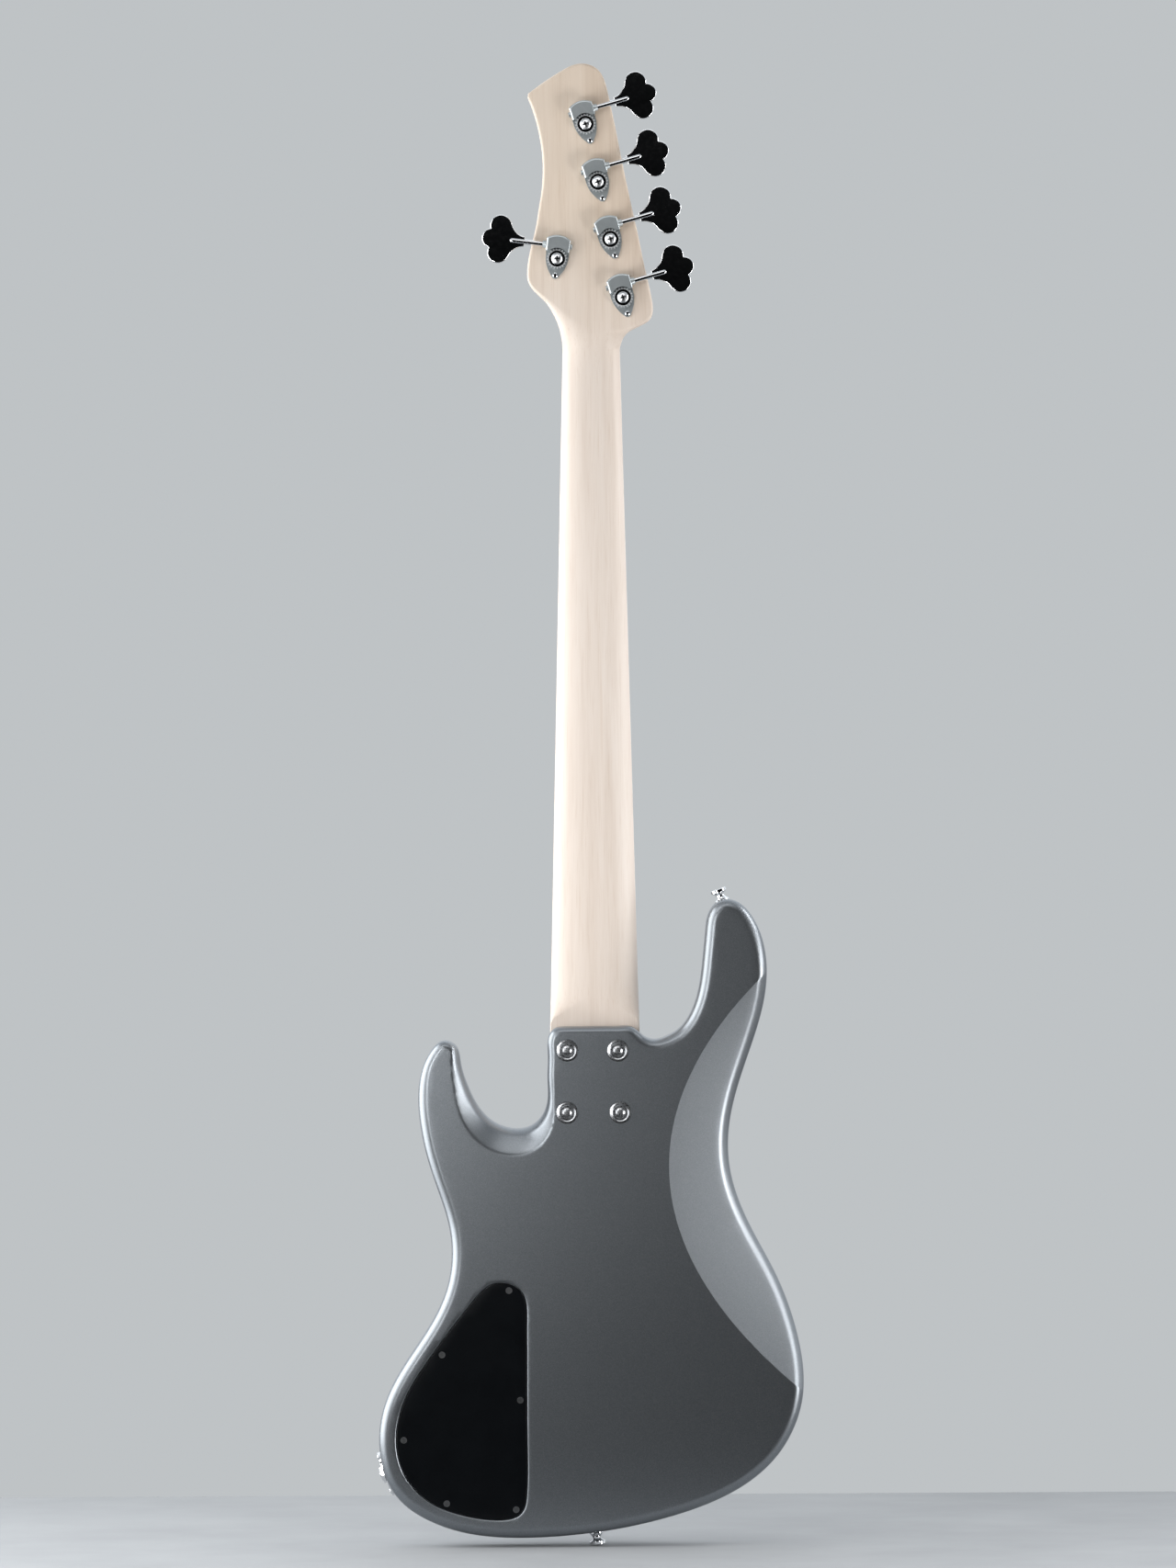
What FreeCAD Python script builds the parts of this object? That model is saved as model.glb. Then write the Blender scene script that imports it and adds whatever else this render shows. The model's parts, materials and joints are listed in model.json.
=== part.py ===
import FreeCAD, Part
import math
import os
import Sketcher

# Five-string electric bass, bolt-on neck, four-plus-one headstock.
# Frame: X across the body (long horn at +X), Y through the thickness (back at -Y,
# strings at +Y), Z along the neck. The origin is the middle of the head of the
# lower strap button. All sizes in millimetres.

V = FreeCAD.Vector
os.makedirs("parts", exist_ok=True)
doc = FreeCAD.newDocument("ElectricBass")

# ---------------------------------------------------------------- driving sizes
SIZES = [
    ("body_thickness", 42.0), ("edge_round", 6.0),
    ("belly_radius", 525.0), ("belly_tilt", 17.0),
    ("scale_length", 863.6), ("nut_z", 940.0), ("nut_width", 45.0), ("nut_thickness", 5.0),
    ("neck_taper", 0.0234), ("neck_length", 634.0), ("heel_back", 5.1),
    ("board_under", 24.5), ("board_thickness", 6.0), ("camber_radius", 304.8),
    ("head_thickness", 14.0), ("fret_height", 1.1), ("fret_half_width", 1.15),
    ("dot_radius", 3.2), ("side_dot_radius", 1.0),
    ("rod_width", 5.6), ("rod_end_radius", 2.5), ("rod_nut_radius", 3.5),
    ("ferrule_radius", 8.5), ("neck_screw_radius", 2.5), ("neck_screw_length", 38.0),
    ("cover_thickness", 2.4), ("cover_gap", 0.4), ("cavity_ledge", 9.0), ("cavity_floor", 13.0),
    ("cover_screw_radius", 1.2),
    ("button_head_radius", 6.25), ("button_height", 10.0), ("strap_screw_radius", 1.8),
    ("jack_plate_thickness", 2.4), ("jack_sleeve_radius", 4.7), ("jack_bore_radius", 3.25),
    ("jack_barrel_radius", 7.6),
    ("battery_width", 26.5), ("battery_length", 48.5), ("battery_depth", 17.5),
    ("board_length", 48.0), ("board_width", 26.0),
    ("pot_radius", 8.5), ("pot_bushing_radius", 3.5), ("pot_shaft_radius", 3.0),
    ("pot_running", 0.06), ("knob_radius", 9.5), ("knob_height", 15.5),
    ("bridge_width", 104.0), ("bridge_plate", 3.0), ("bridge_wall", 3.0),
    ("saddle_width", 17.0), ("intonation_radius", 1.4), ("spring_radius", 2.0), ("spring_wire", 0.35),
    ("string_spacing_bridge", 19.0), ("string_spacing_nut", 9.5),
    ("string_1_radius", 1.65), ("string_2_radius", 1.335), ("string_3_radius", 1.08),
    ("string_4_radius", 0.825), ("string_5_radius", 0.57),
    ("pickup_length", 108.0), ("pickup_width", 20.0), ("pickup_height", 18.0), ("pole_radius", 2.4),
    ("tuner_plate", 1.8), ("housing_height", 8.0), ("worm_offset", 10.3), ("worm_height", 4.2),
    ("worm_core", 2.0), ("worm_outer", 3.2), ("gear_pitch_radius", 7.6), ("gear_teeth", 20.0),
    ("gear_root", 6.8), ("gear_outer", 8.1), ("gear_thickness", 3.0),
    ("key_shaft_radius", 2.0), ("key_running", 0.06), ("key_button_thickness", 3.0),
    ("post_radius", 5.0), ("post_running", 0.08), ("bushing_radius", 7.9),
]
dims = doc.addObject("Spreadsheet::Sheet", "Dims")
for row, (alias, value) in enumerate(SIZES, start=1):
    dims.set("A%d" % row, alias.replace("_", " "))
    dims.set("B%d" % row, str(value))
    dims.setAlias("B%d" % row, alias)
doc.recompute()


class Q:
    """A number that also carries the sheet expression it comes from."""

    def __init__(self, v, ex):
        self.v = float(v)
        self.ex = ex

    @staticmethod
    def parts(o):
        return (o.v, o.ex) if isinstance(o, Q) else (float(o), repr(float(o)))

    def __add__(self, o):
        v, e = Q.parts(o)
        return Q(self.v + v, "(%s + %s)" % (self.ex, e))

    __radd__ = __add__

    def __sub__(self, o):
        v, e = Q.parts(o)
        return Q(self.v - v, "(%s - %s)" % (self.ex, e))

    def __mul__(self, o):
        v, e = Q.parts(o)
        return Q(self.v * v, "(%s * %s)" % (self.ex, e))

    __rmul__ = __mul__

    def __float__(self):
        return self.v


def q(alias):
    return Q(dict(SIZES)[alias], "Dims." + alias)


def n(alias):
    return dict(SIZES)[alias]


def put(obj, prop, value):
    if isinstance(value, Q):
        obj.setExpression(prop, value.ex)
    else:
        setattr(obj, prop, value)


# ---------------------------------------------------------------- shape helpers
def turn_to(axis):
    return FreeCAD.Rotation(V(0, 0, 1), V(*axis))


def frame_of(x, y, z):
    m = FreeCAD.Matrix(x[0], y[0], z[0], 0, x[1], y[1], z[1], 0, x[2], y[2], z[2], 0, 0, 0, 0, 1)
    return FreeCAD.Placement(m).Rotation


def cyl(name, radius, height, base, axis=(0, 0, 1)):
    o = doc.addObject("Part::Cylinder", name)
    put(o, "Radius", radius)
    put(o, "Height", height)
    o.Placement = FreeCAD.Placement(V(*[float(c) for c in base]), turn_to(axis))
    return o


def cone(name, r1, r2, height, base, axis=(0, 0, 1)):
    o = doc.addObject("Part::Cone", name)
    put(o, "Radius1", r1)
    put(o, "Radius2", r2)
    put(o, "Height", height)
    o.Placement = FreeCAD.Placement(V(*[float(c) for c in base]), turn_to(axis))
    return o


def ball(name, radius, at):
    o = doc.addObject("Part::Sphere", name)
    put(o, "Radius", radius)
    o.Placement = FreeCAD.Placement(V(*[float(c) for c in at]), FreeCAD.Rotation())
    return o


def ring(name, r1, r2, at, axis):
    o = doc.addObject("Part::Torus", name)
    put(o, "Radius1", r1)
    put(o, "Radius2", r2)
    o.Placement = FreeCAD.Placement(V(*[float(c) for c in at]), turn_to(axis))
    return o


def box(name, lx, ly, lz, base, rot=None):
    o = doc.addObject("Part::Box", name)
    put(o, "Length", lx)
    put(o, "Width", ly)
    put(o, "Height", lz)
    o.Placement = FreeCAD.Placement(V(*[float(c) for c in base]), rot or FreeCAD.Rotation())
    return o


def fuse(name, shapes):
    o = doc.addObject("Part::MultiFuse", name)
    o.Shapes = shapes
    return o


def cut(name, base, tools):
    o = doc.addObject("Part::Cut", name)
    o.Base = base
    o.Tool = tools[0] if len(tools) == 1 else fuse(name + "_tools", tools)
    return o


def common(name, a, b):
    o = doc.addObject("Part::Common", name)
    o.Base = a
    o.Tool = b
    return o


def group(name, shapes):
    o = doc.addObject("Part::Compound", name)
    o.Links = shapes
    return o


def lines(pts):
    p = [V(float(a), float(b), 0) for a, b in pts]
    return [Part.LineSegment(p[i], p[(i + 1) % len(p)]) for i in range(len(p))]


def spline(pts, closed=True):
    c = Part.BSplineCurve()
    c.interpolate([V(float(a), float(b), 0) for a, b in pts], PeriodicFlag=closed)
    return c


def arcs(pts, step=1, closed=True):
    """A smooth outline of tangent circular arcs through the points: two arcs a span."""
    c = Part.BSplineCurve()
    c.interpolate([V(float(a), float(b), 0) for a, b in pts], PeriodicFlag=closed)
    total = len(pts)
    keep = list(range(0, total, step))
    if not closed and keep[-1] != total - 1:
        keep.append(total - 1)
    spots, heads = [], []
    for i in keep:
        p = V(float(pts[i][0]), float(pts[i][1]), 0)
        spots.append(p)
        heads.append(V(*c.tangent(c.parameter(p))[0]))
    made = []

    def piece(p, head, e):
        d = e - p
        side = V(-head.y, head.x, 0)
        k = side.dot(d)
        if abs(k) < 1e-6 * d.Length:
            return Part.LineSegment(p, e)
        r = d.Length ** 2 / (2 * k)
        centre = p + side * r
        half = (p + e) * 0.5 - centre
        bulge = half.normalize() * abs(r)
        mid = centre + bulge
        if (mid - p).dot(head) < 0:
            mid = centre - bulge
        return Part.Arc(p, mid, e)

    spans = len(spots) if closed else len(spots) - 1
    for i in range(spans):
        j = (i + 1) % len(spots)
        p0, p1, t0, t1 = spots[i], spots[j], heads[i], heads[j]
        v = p1 - p0
        t = t0 + t1
        a = 2 * (1 - t0.dot(t1))
        vt = v.dot(t)
        d = v.dot(v) / (2 * vt) if a < 1e-9 else (-vt + math.sqrt(vt * vt + a * v.dot(v))) / a
        joint = (p0 + t0 * d + p1 - t1 * d) * 0.5
        made.append(piece(p0, t0, joint))
        turned_head = (p1 - t1 * d - joint).normalize()
        made.append(piece(joint, turned_head, p1))
    return made


def sketch_in(body, name, plane, edges, driven=()):
    sk = body.newObject("Sketcher::SketchObject", name)
    support = [f for f in body.Origin.OriginFeatures if f.Role == plane][0]
    sk.AttachmentSupport = [(support, "")]
    sk.MapMode = "FlatFace"
    for e in edges:
        sk.addGeometry(e, False)
    if driven:
        k = len(edges)
        for i in range(k):
            sk.addConstraint(Sketcher.Constraint("Coincident", i, 2, (i + 1) % k, 1))
        for i, kind, value in driven:
            index = sk.addConstraint(Sketcher.Constraint(kind, -1, 1, i, 1, float(value)))
            sk.setExpression("Constraints[%d]" % index, value.ex)
    return sk


def pad(name, plane, edges, length, base=(0, 0, 0), rot=None, symmetric=False):
    b = doc.addObject("PartDesign::Body", name)
    sk = sketch_in(b, name + "_profile", plane, edges)
    p = b.newObject("PartDesign::Pad", name + "_pad")
    p.Profile = sk
    put(p, "Length", length)
    p.SideType = "Symmetric" if symmetric else "One side"
    b.Tip = p
    b.Placement = FreeCAD.Placement(V(*[float(c) for c in base]), rot or FreeCAD.Rotation())
    return b


def turned(name, pts, base=(0, 0, 0), axis=(0, 0, 1), angle=360.0):
    """A turned piece: (radius, height) profile about the local Z axis."""
    b = doc.addObject("PartDesign::Body", name)
    driven = []
    for i, (r, h) in enumerate(pts):
        if isinstance(r, Q):
            driven.append((i, "DistanceX", r))
        if isinstance(h, Q):
            driven.append((i, "DistanceY", h))
    sk = sketch_in(b, name + "_profile", "XZ_Plane", lines(pts), driven)
    rev = b.newObject("PartDesign::Revolution", name + "_turn")
    rev.Profile = sk
    rev.ReferenceAxis = (sk, ["V_Axis"])
    rev.Angle = angle
    b.Tip = rev
    b.Placement = FreeCAD.Placement(V(*[float(c) for c in base]), turn_to(axis))
    return b


def hexagon(across):
    r = float(across) / math.sqrt(3)
    return [(r * math.cos(math.radians(60 * i + 30)), r * math.sin(math.radians(60 * i + 30))) for i in range(6)]


def deliver(obj, label):
    obj.Label = label
    NODES.append(obj)
    return obj


NODES = []
BACK = -n("body_thickness") / 2
FRONT = n("body_thickness") / 2
NUT_Z = n("nut_z")
HEAD_BACK = n("heel_back")
HEAD_FRONT = HEAD_BACK + n("head_thickness")
BOARD_TOP = n("board_under") + n("board_thickness")
HEEL_Z = NUT_Z - n("neck_length")


def half_neck(z):
    return n("nut_width") / 2 + n("neck_taper") * (NUT_Z - z)


def fret_z(k):
    return NUT_Z - n("scale_length") * (1 - 2 ** (-k / 12.0))


# ---------------------------------------------------------------- outlines (x, z)
BODY_LINE = [(-36.59, 397.3), (-26.73, 405.49), (-11.75, 405.22), (6.26, 405.8), (22.86, 406.13), (35.63, 398.68),
    (49.69, 396.43), (63.32, 401.65), (73.66, 414.01), (80.41, 432.29), (84.15, 457.25), (86.48, 480.67),
    (90.09, 495.91), (99.67, 504.19), (111.98, 502.4), (122.13, 492.54), (129.82, 476.99), (133.97, 456.63),
    (133.35, 433.27), (127.53, 406.85), (116.55, 374.08), (107.48, 343.8), (103.59, 317.99), (104.76, 293.82),
    (111.22, 269.46), (123.17, 242.74), (139.12, 212.58), (150.73, 184.6), (158.32, 156.91), (161.57, 131.64),
    (159.71, 108.82), (152.58, 87.68), (140.74, 68.62), (124.33, 52.39), (103.35, 38.87), (77.58, 27.67),
    (46.91, 18.36), (13.54, 11.24), (-21.03, 6.79), (-55.37, 4.93), (-85.46, 6.06), (-111.39, 10.74),
    (-133.53, 19.13), (-151.08, 30.5), (-163.13, 45.44), (-169.66, 64.16), (-171.42, 85.32), (-167.92, 107.05),
    (-158.49, 129.07), (-142.32, 154.59), (-126.58, 179.85), (-117.44, 202.29), (-113.84, 224.87),
    (-115.57, 248.14), (-123.24, 274.62), (-132.94, 304.7), (-138.24, 332.07), (-139.19, 355.72),
    (-135.76, 374.11), (-129.16, 386.97), (-119.88, 394.46), (-109.7, 390.1), (-106.2, 377.52),
    (-101.53, 361.13), (-93.14, 343.64), (-81.43, 331.18), (-67.28, 325.53), (-53.16, 326.56), (-42.49, 335.31),
    (-37.95, 349.47), (-38.08, 366.43), (-37.66, 383.17)]
BODY_LINE = [(x + 0.65, z) for x, z in BODY_LINE]

HEAD_LEFT = [(-24.74, 950.14), (-27.33, 958.76), (-31.58, 967.59), (-36.35, 974.66), (-43.25, 981.42),
    (-48.12, 987.04), (-50.39, 992.3), (-50.6, 998.77), (-49.09, 1010.59), (-46.42, 1021.91), (-43.72, 1033.12),
    (-41.49, 1046.22), (-39.18, 1060.56), (-38.06, 1073.5), (-38.11, 1085.83), (-39.29, 1098.29),
    (-41.59, 1110.82), (-44.99, 1123.3), (-49.44, 1135.6)]
HEAD_LEFT = [(-22.75, 938.0), (-23.2, 944.0)] + [(x + 0.65, z) for x, z in HEAD_LEFT]
HEAD_RIGHT = [(-49.0, 1138.4), (-35.22, 1148.42), (-23.17, 1155.98), (-14.48, 1160.44), (-7.85, 1161.83),
    (-1.43, 1161.06), (4.16, 1158.4), (8.28, 1154.06), (10.9, 1148.6), (12.8, 1142.0), (14.7, 1133.5),
    (17.0, 1122.5), (19.4, 1111.0), (23.46, 1089.49), (27.89, 1067.63), (32.22, 1047.04), (36.81, 1026.1),
    (41.36, 1003.4), (45.47, 985.16), (47.67, 973.21), (47.89, 966.02), (46.05, 961.13), (41.61, 957.43),
    (33.76, 953.63), (27.71, 949.94), (24.3, 945.6)]
HEAD_RIGHT = [(x + 0.65, z) for x, z in HEAD_RIGHT] + [(22.75, 938.0)]

COVER_LINE = [(-75.91, 205.29), (-68.52, 204.2), (-62.14, 200.68), (-57.91, 194.8), (-55.88, 186.45),
    (-55.75, 173.61), (-55.8, 153.23), (-55.9, 126.94), (-55.95, 100.79), (-55.8, 75.42), (-55.75, 53.97),
    (-56.51, 37.87), (-58.18, 29.18), (-62.1, 23.83), (-68.6, 20.92), (-78.29, 20.06), (-91.32, 21.02),
    (-106.46, 24.11), (-120.06, 28.39), (-130.93, 33.79), (-140.0, 40.78), (-147.47, 49.33), (-152.93, 58.98),
    (-156.25, 69.64), (-157.47, 81.33), (-156.55, 93.75), (-153.54, 106.4), (-148.5, 118.8), (-140.91, 131.89),
    (-128.45, 149.9), (-114.62, 168.62), (-99.45, 187.71), (-90.32, 198.14), (-83.17, 203.36)]
COVER_LINE = [(x + 0.65, z) for x, z in COVER_LINE]
COVER_SCREWS = [(-68.45, 199.24), (-121.06, 149.13), (-59.98, 113.37), (-151.45, 82.47), (-117.95, 32.68),
    (-63.62, 27.71)]
NECK_SCREWS = [(-21.78, 386.9), (17.89, 386.7), (-22.2, 338.2), (19.5, 338.2)]

# bevel of the treble cutaway: edge on the back face, and edge down on the side wall
BEVEL_BACK = [(-114.5, 391.5), (-112.6, 380.0), (-110.73, 367.45), (-104.43, 334.3), (-93.73, 316.96),
    (-81.54, 307.53), (-68.61, 302.06), (-55.64, 303.79), (-42.64, 310.92), (-36.11, 319.52), (-33.4, 332.46),
    (-35.0, 347.0), (-37.3, 364.0), (-46.0, 402.0), (-76.0, 415.0), (-106.0, 402.0)]
BEVEL_SIDE = [(-109.6, 391.0), (-106.4, 381.0), (-103.2, 371.0), (-95.2, 352.5), (-85.4, 338.2), (-74.0, 329.7),
    (-62.8, 326.1), (-51.4, 328.1), (-43.8, 334.2), (-39.2, 344.0), (-37.6, 353.0), (-37.5, 362.0),
    (-38.2, 371.0), (-48.0, 399.0), (-76.0, 410.0), (-103.0, 400.0)]

# strings from the low to the high side: radius, setback of the saddle
STRINGS = [(n("string_%d_radius" % (k + 1)), back) for k, back in enumerate((5.0, 3.5, 2.5, 1.5, 0.5))]
# tuners: post x, post z, key angle above horizontal, side (+1 keys to +X)
TUNERS = [(25.13, 977.43, 15.75, 1), (15.52, 1023.27, 15.75, 1), (5.97, 1068.25, 15.75, 1),
    (-3.51, 1113.73, 15.75, 1), (-26.54, 1008.09, 7.0, -1)]
KNOBS = [("volume", -78.7, 170.0), ("blend", -104.1, 134.1), ("treble", -125.9, 94.65), ("bass", -113.9, 58.6)]
PICKUPS = [("neck", 242.0), ("bridge", 150.0)]

# lower strap button: head centre at the origin, axis along the outline's normal
LOW_AXIS = (0.128, 0.0, -0.99177)
LOW_BASE = tuple(-8.6 * c for c in LOW_AXIS)
UP_AXIS = (-0.341, 0.0, 0.94007)
UP_BASE = (100.5, 0.0, 502.95)
# jack: seat of the plate and outward direction
JACK_OUT = (-0.9403, 0.0, -0.3404)
JACK_SEAT = (-164.4, 0.0, 55.25)
JACK_ALONG = (0.3404, 0.0, -0.9403)


def along(p, d, s):
    return tuple(p[i] + d[i] * float(s) for i in range(3))


# ---------------------------------------------------------------- body
blank = doc.addObject("PartDesign::Body", "body_blank")
blank_line = sketch_in(blank, "body_outline", "XZ_Plane", arcs(BODY_LINE, 2))
blank_pad = blank.newObject("PartDesign::Pad", "body_slab")
blank_pad.Profile = blank_line
put(blank_pad, "Length", q("body_thickness"))
blank_pad.SideType = "Symmetric"
blank.Tip = blank_pad
doc.recompute()
rims = ["Edge%d" % (i + 1) for i, e in enumerate(blank_pad.Shape.Edges)
        if e.BoundBox.YLength < 0.01]
blank_round = blank.newObject("PartDesign::Fillet", "body_roundover")
blank_round.Base = (blank_pad, rims)
put(blank_round, "Radius", q("edge_round"))
blank.Tip = blank_round
doc.recompute()

tools = []
# belly contour: a large cylinder sunk into the back of the bass side
tilt = math.radians(n("belly_tilt"))
belly_axis = (math.cos(tilt), math.sin(tilt), 0.0)
belly_in = (math.sin(tilt), -math.cos(tilt), 0.0)
apex = (57.43, BACK, 295.26)
tools.append(cyl("belly_tool", q("belly_radius"), 260.0,
                 along(along(apex, belly_in, n("belly_radius")), belly_axis, -60.0), belly_axis))


def wire_at(name, pts, y, smooth=False):
    s = doc.addObject("Sketcher::SketchObject", name)
    s.Placement = FreeCAD.Placement(V(0, y, 0), FreeCAD.Rotation(V(1, 0, 0), 90))
    for e in (arcs(pts) if smooth else [spline(pts)]):
        s.addGeometry(e, False)
    return s


bevel = doc.addObject("Part::Loft", "bevel_tool")
bevel.Sections = [wire_at("bevel_back", BEVEL_BACK, BACK - 0.02), wire_at("bevel_side", BEVEL_SIDE, BACK + 14.0)]
bevel.Solid = True
bevel.Ruled = True
tools.append(bevel)
# neck pocket, open towards the treble cutaway
g = 0.1
tools.append(pad("pocket_tool", "XZ_Plane", lines([
    (-half_neck(HEEL_Z) - g, HEEL_Z - g), (half_neck(HEEL_Z) + g, HEEL_Z - g), (half_neck(425) + g, 425),
    (-60, 425), (-60, 350), (-half_neck(350) - g, 350)]), 60.0 - q("heel_back").v, (0, 60, 0)))
# rear control cavity with the ledge that the cover rests on
cover_sketch = wire_at("cover_outline", COVER_LINE, 0.0, True)


def cover_prism(name, offset, y0, y1):
    off = doc.addObject("Part::Offset2D", name + "_line")
    off.Source = cover_sketch
    put(off, "Value", offset)
    ext = doc.addObject("Part::Extrusion", name)
    ext.Base = off
    ext.DirMode = "Custom"
    ext.Dir = V(0, 1, 0)
    ext.LengthFwd = y1 - y0
    ext.Solid = True
    ext.Placement = FreeCAD.Placement(V(0, y0, 0), FreeCAD.Rotation())
    return ext


tools.append(cover_prism("cover_recess", q("cover_gap"), BACK - 1.0, BACK + n("cover_thickness")))
tools.append(cover_prism("control_cavity", q("cavity_ledge") * -1.0, BACK - 0.5, n("cavity_floor")))
# pickup cavities and wire channels
for label, z in PICKUPS:
    tools.append(box("cavity_" + label, q("pickup_length") + 0.8, 40.0, q("pickup_width") + 0.8,
                     (-n("pickup_length") / 2 - 0.4, 4.0, z - n("pickup_width") / 2 - 0.4)))
tools.append(cyl("channel_pickups", 3.0, 80.0, (-30, 10, 156), (0, 0, 1)))
tools.append(cyl("channel_controls", 3.0, 30.0, (-44, 8.3, 150.4), (-1, 0, 0)))
# neck screws and their ferrules
for i, (x, z) in enumerate(NECK_SCREWS):
    tools.append(cyl("ferrule_seat_%d" % i, q("ferrule_radius") + 0.1, 6.0, (x, BACK - 3, z), (0, 1, 0)))
    tools.append(cyl("neck_screw_way_%d" % i, q("neck_screw_radius") + 0.3, 40.0, (x, BACK - 3, z), (0, 1, 0)))
for i, (x, z) in enumerate(COVER_SCREWS):
    tools.append(cyl("cover_pilot_%d" % i, q("cover_screw_radius") + 0.1, 12.0,
                     (x, BACK + n("cover_thickness") - 1, z), (0, 1, 0)))
for label, x, z in KNOBS:
    tools.append(cyl("pot_hole_" + label, q("pot_bushing_radius") + 0.3, 14.0, (x, 10, z), (0, 1, 0)))
BRIDGE_SCREWS = [(-40, 91.5), (0, 91.5), (40, 91.5), (-45.5, 43), (45.5, 43)]
for i, (x, z) in enumerate(BRIDGE_SCREWS):
    tools.append(cyl("bridge_pilot_%d" % i, 1.7, 24.0, (x, 0, z), (0, 1, 0)))
for label, z in PICKUPS:
    for side in (-1, 1):
        tools.append(cyl("pickup_pilot_%s_%d" % (label, side + 1), 1.4, 14.0, (side * 49.5, -8.5, z), (0, 1, 0)))
# strap buttons: flat seats and pilots
tools.append(cyl("low_seat", q("button_head_radius") + 0.15, 8.0, LOW_BASE, LOW_AXIS))
tools.append(cyl("low_pilot", q("strap_screw_radius") + 0.1, 32.0, along(LOW_BASE, LOW_AXIS, -28), LOW_AXIS))
tools.append(cyl("up_seat", q("button_head_radius") + 0.15, 8.0, UP_BASE, UP_AXIS))
tools.append(cyl("up_pilot", q("strap_screw_radius") + 0.1, 32.0, along(UP_BASE, UP_AXIS, -28), UP_AXIS))


def oval(half_long, half_wide):
    pts = []
    for k in range(24):
        t = 2 * math.pi * k / 24
        c, s = math.cos(t), math.sin(t)
        pts.append((half_long * math.copysign(abs(c) ** 0.85, c), half_wide * math.copysign(abs(s) ** 0.85, s)))
    return pts


jack_frame = frame_of(JACK_ALONG, (0, -1, 0), JACK_OUT)
tools.append(pad("jack_seat_tool", "XY_Plane", [spline(oval(18.3, 13.3))], 20.0, JACK_SEAT, jack_frame))
tools.append(cyl("jack_hole", q("jack_barrel_radius") + 0.4, 36.0, along(JACK_SEAT, JACK_OUT, -35.5), JACK_OUT))
for side in (-1, 1):
    tools.append(cyl("jack_pilot_%d" % (side + 1), 1.4, 14.0,
                     along(along(JACK_SEAT, JACK_ALONG, side * 14.0), JACK_OUT, -12), JACK_OUT))
body = deliver(cut("body", blank, tools), "body")

# ---------------------------------------------------------------- neck
def section(z, hw, top, low, power):
    pts = []
    count = 28
    for k in range(count + 1):
        t = math.pi * k / count
        c, s = math.cos(t), math.sin(t)
        pts.append(V(hw * math.copysign(abs(c) ** (2.0 / power), c), top - (top - low) * abs(s) ** (2.0 / power), z))
    under = Part.BSplineCurve()
    under.interpolate(pts)
    return Part.Wire([under.toShape(), Part.makeLine(pts[-1], pts[0])])


TOP = n("board_under")
SHAFT = [(398, 5.25, 7.0), (410, 5.4, 6.0), (422, 5.6, 4.4), (440, 6.0, 3.1), (480, 6.2, 2.5), (560, 6.6, 2.3),
    (640, 7.0, 2.3), (740, 7.8, 2.3), (840, 8.6, 2.3), (900, 9.0, 2.3), (920, 8.6, 2.5), (934, 7.4, 3.0),
    (946, 5.9, 4.2)]
shaft = doc.addObject("Part::Feature", "neck_shaft")
shaft.Shape = Part.makeLoft([section(z, half_neck(z), TOP, low, p) for z, low, p in SHAFT], True, False)
heel = pad("neck_heel", "XZ_Plane", lines([(-half_neck(HEEL_Z), HEEL_Z), (half_neck(HEEL_Z), HEEL_Z),
    (half_neck(404), 404), (-half_neck(404), 404)]), q("board_under") - q("heel_back"), (0, TOP, 0))
head_curves = arcs(HEAD_LEFT, 1, False) + [
    Part.LineSegment(V(HEAD_LEFT[-1][0], HEAD_LEFT[-1][1], 0), V(HEAD_RIGHT[0][0], HEAD_RIGHT[0][1], 0)),
    ] + arcs(HEAD_RIGHT, 1, False) + [
    Part.LineSegment(V(HEAD_RIGHT[-1][0], HEAD_RIGHT[-1][1], 0), V(HEAD_LEFT[0][0], HEAD_LEFT[0][1], 0))]
head = pad("headstock", "XZ_Plane", head_curves, q("head_thickness"), (0, HEAD_FRONT, 0))
neck_blank = fuse("neck_blank", [heel, shaft, head])

ntools = []
for i, (x, z) in enumerate(NECK_SCREWS):
    ntools.append(cyl("neck_pilot_%d" % i, q("neck_screw_radius") + 0.1, 18.0, (x, 2, z), (0, 1, 0)))
ROD_Y = 19.8
ntools.append(box("rod_channel", q("rod_width") + 0.4, 12.0, 626.5, (-n("rod_width") / 2 - 0.2, 15.7, 320)))
ntools.append(box("rod_access", 10.0, 12.0, 15.0, (-5, 15.5, 946)))
RETAINER = [(-23.2, 961.0), (24.6, 961.0)]
for i, (x, z) in enumerate(RETAINER):
    ntools.append(cyl("retainer_pilot_%d" % i, 1.4, 14.0, (x, 8, z), (0, 1, 0)))


def tuner_frame(t):
    ang = math.radians(t[2])
    if t[3] > 0:
        return frame_of((math.cos(ang), 0, math.sin(ang)), (-math.sin(ang), 0, math.cos(ang)), (0, -1, 0))
    return frame_of((math.cos(ang), 0, -math.sin(ang)), (math.sin(ang), 0, math.cos(ang)), (0, -1, 0))


def tuner_point(t, a, b, c):
    p = tuner_frame(t).multVec(V(a, b, c))
    return (t[0] + p.x, HEAD_BACK + p.y, t[1] + p.z)


for i, t in enumerate(TUNERS):
    ntools.append(cyl("post_hole_%d" % i, q("bushing_radius") + 0.1, 30.0, (t[0], 0, t[1]), (0, 1, 0)))
    x, y, z = tuner_point(t, 0, -12.9, 0)
    ntools.append(cyl("tuner_pilot_%d" % i, 1.1, 12.0, (x, y - 2, z), (0, 1, 0)))
neck = deliver(cut("neck", neck_blank, ntools), "neck")

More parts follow.
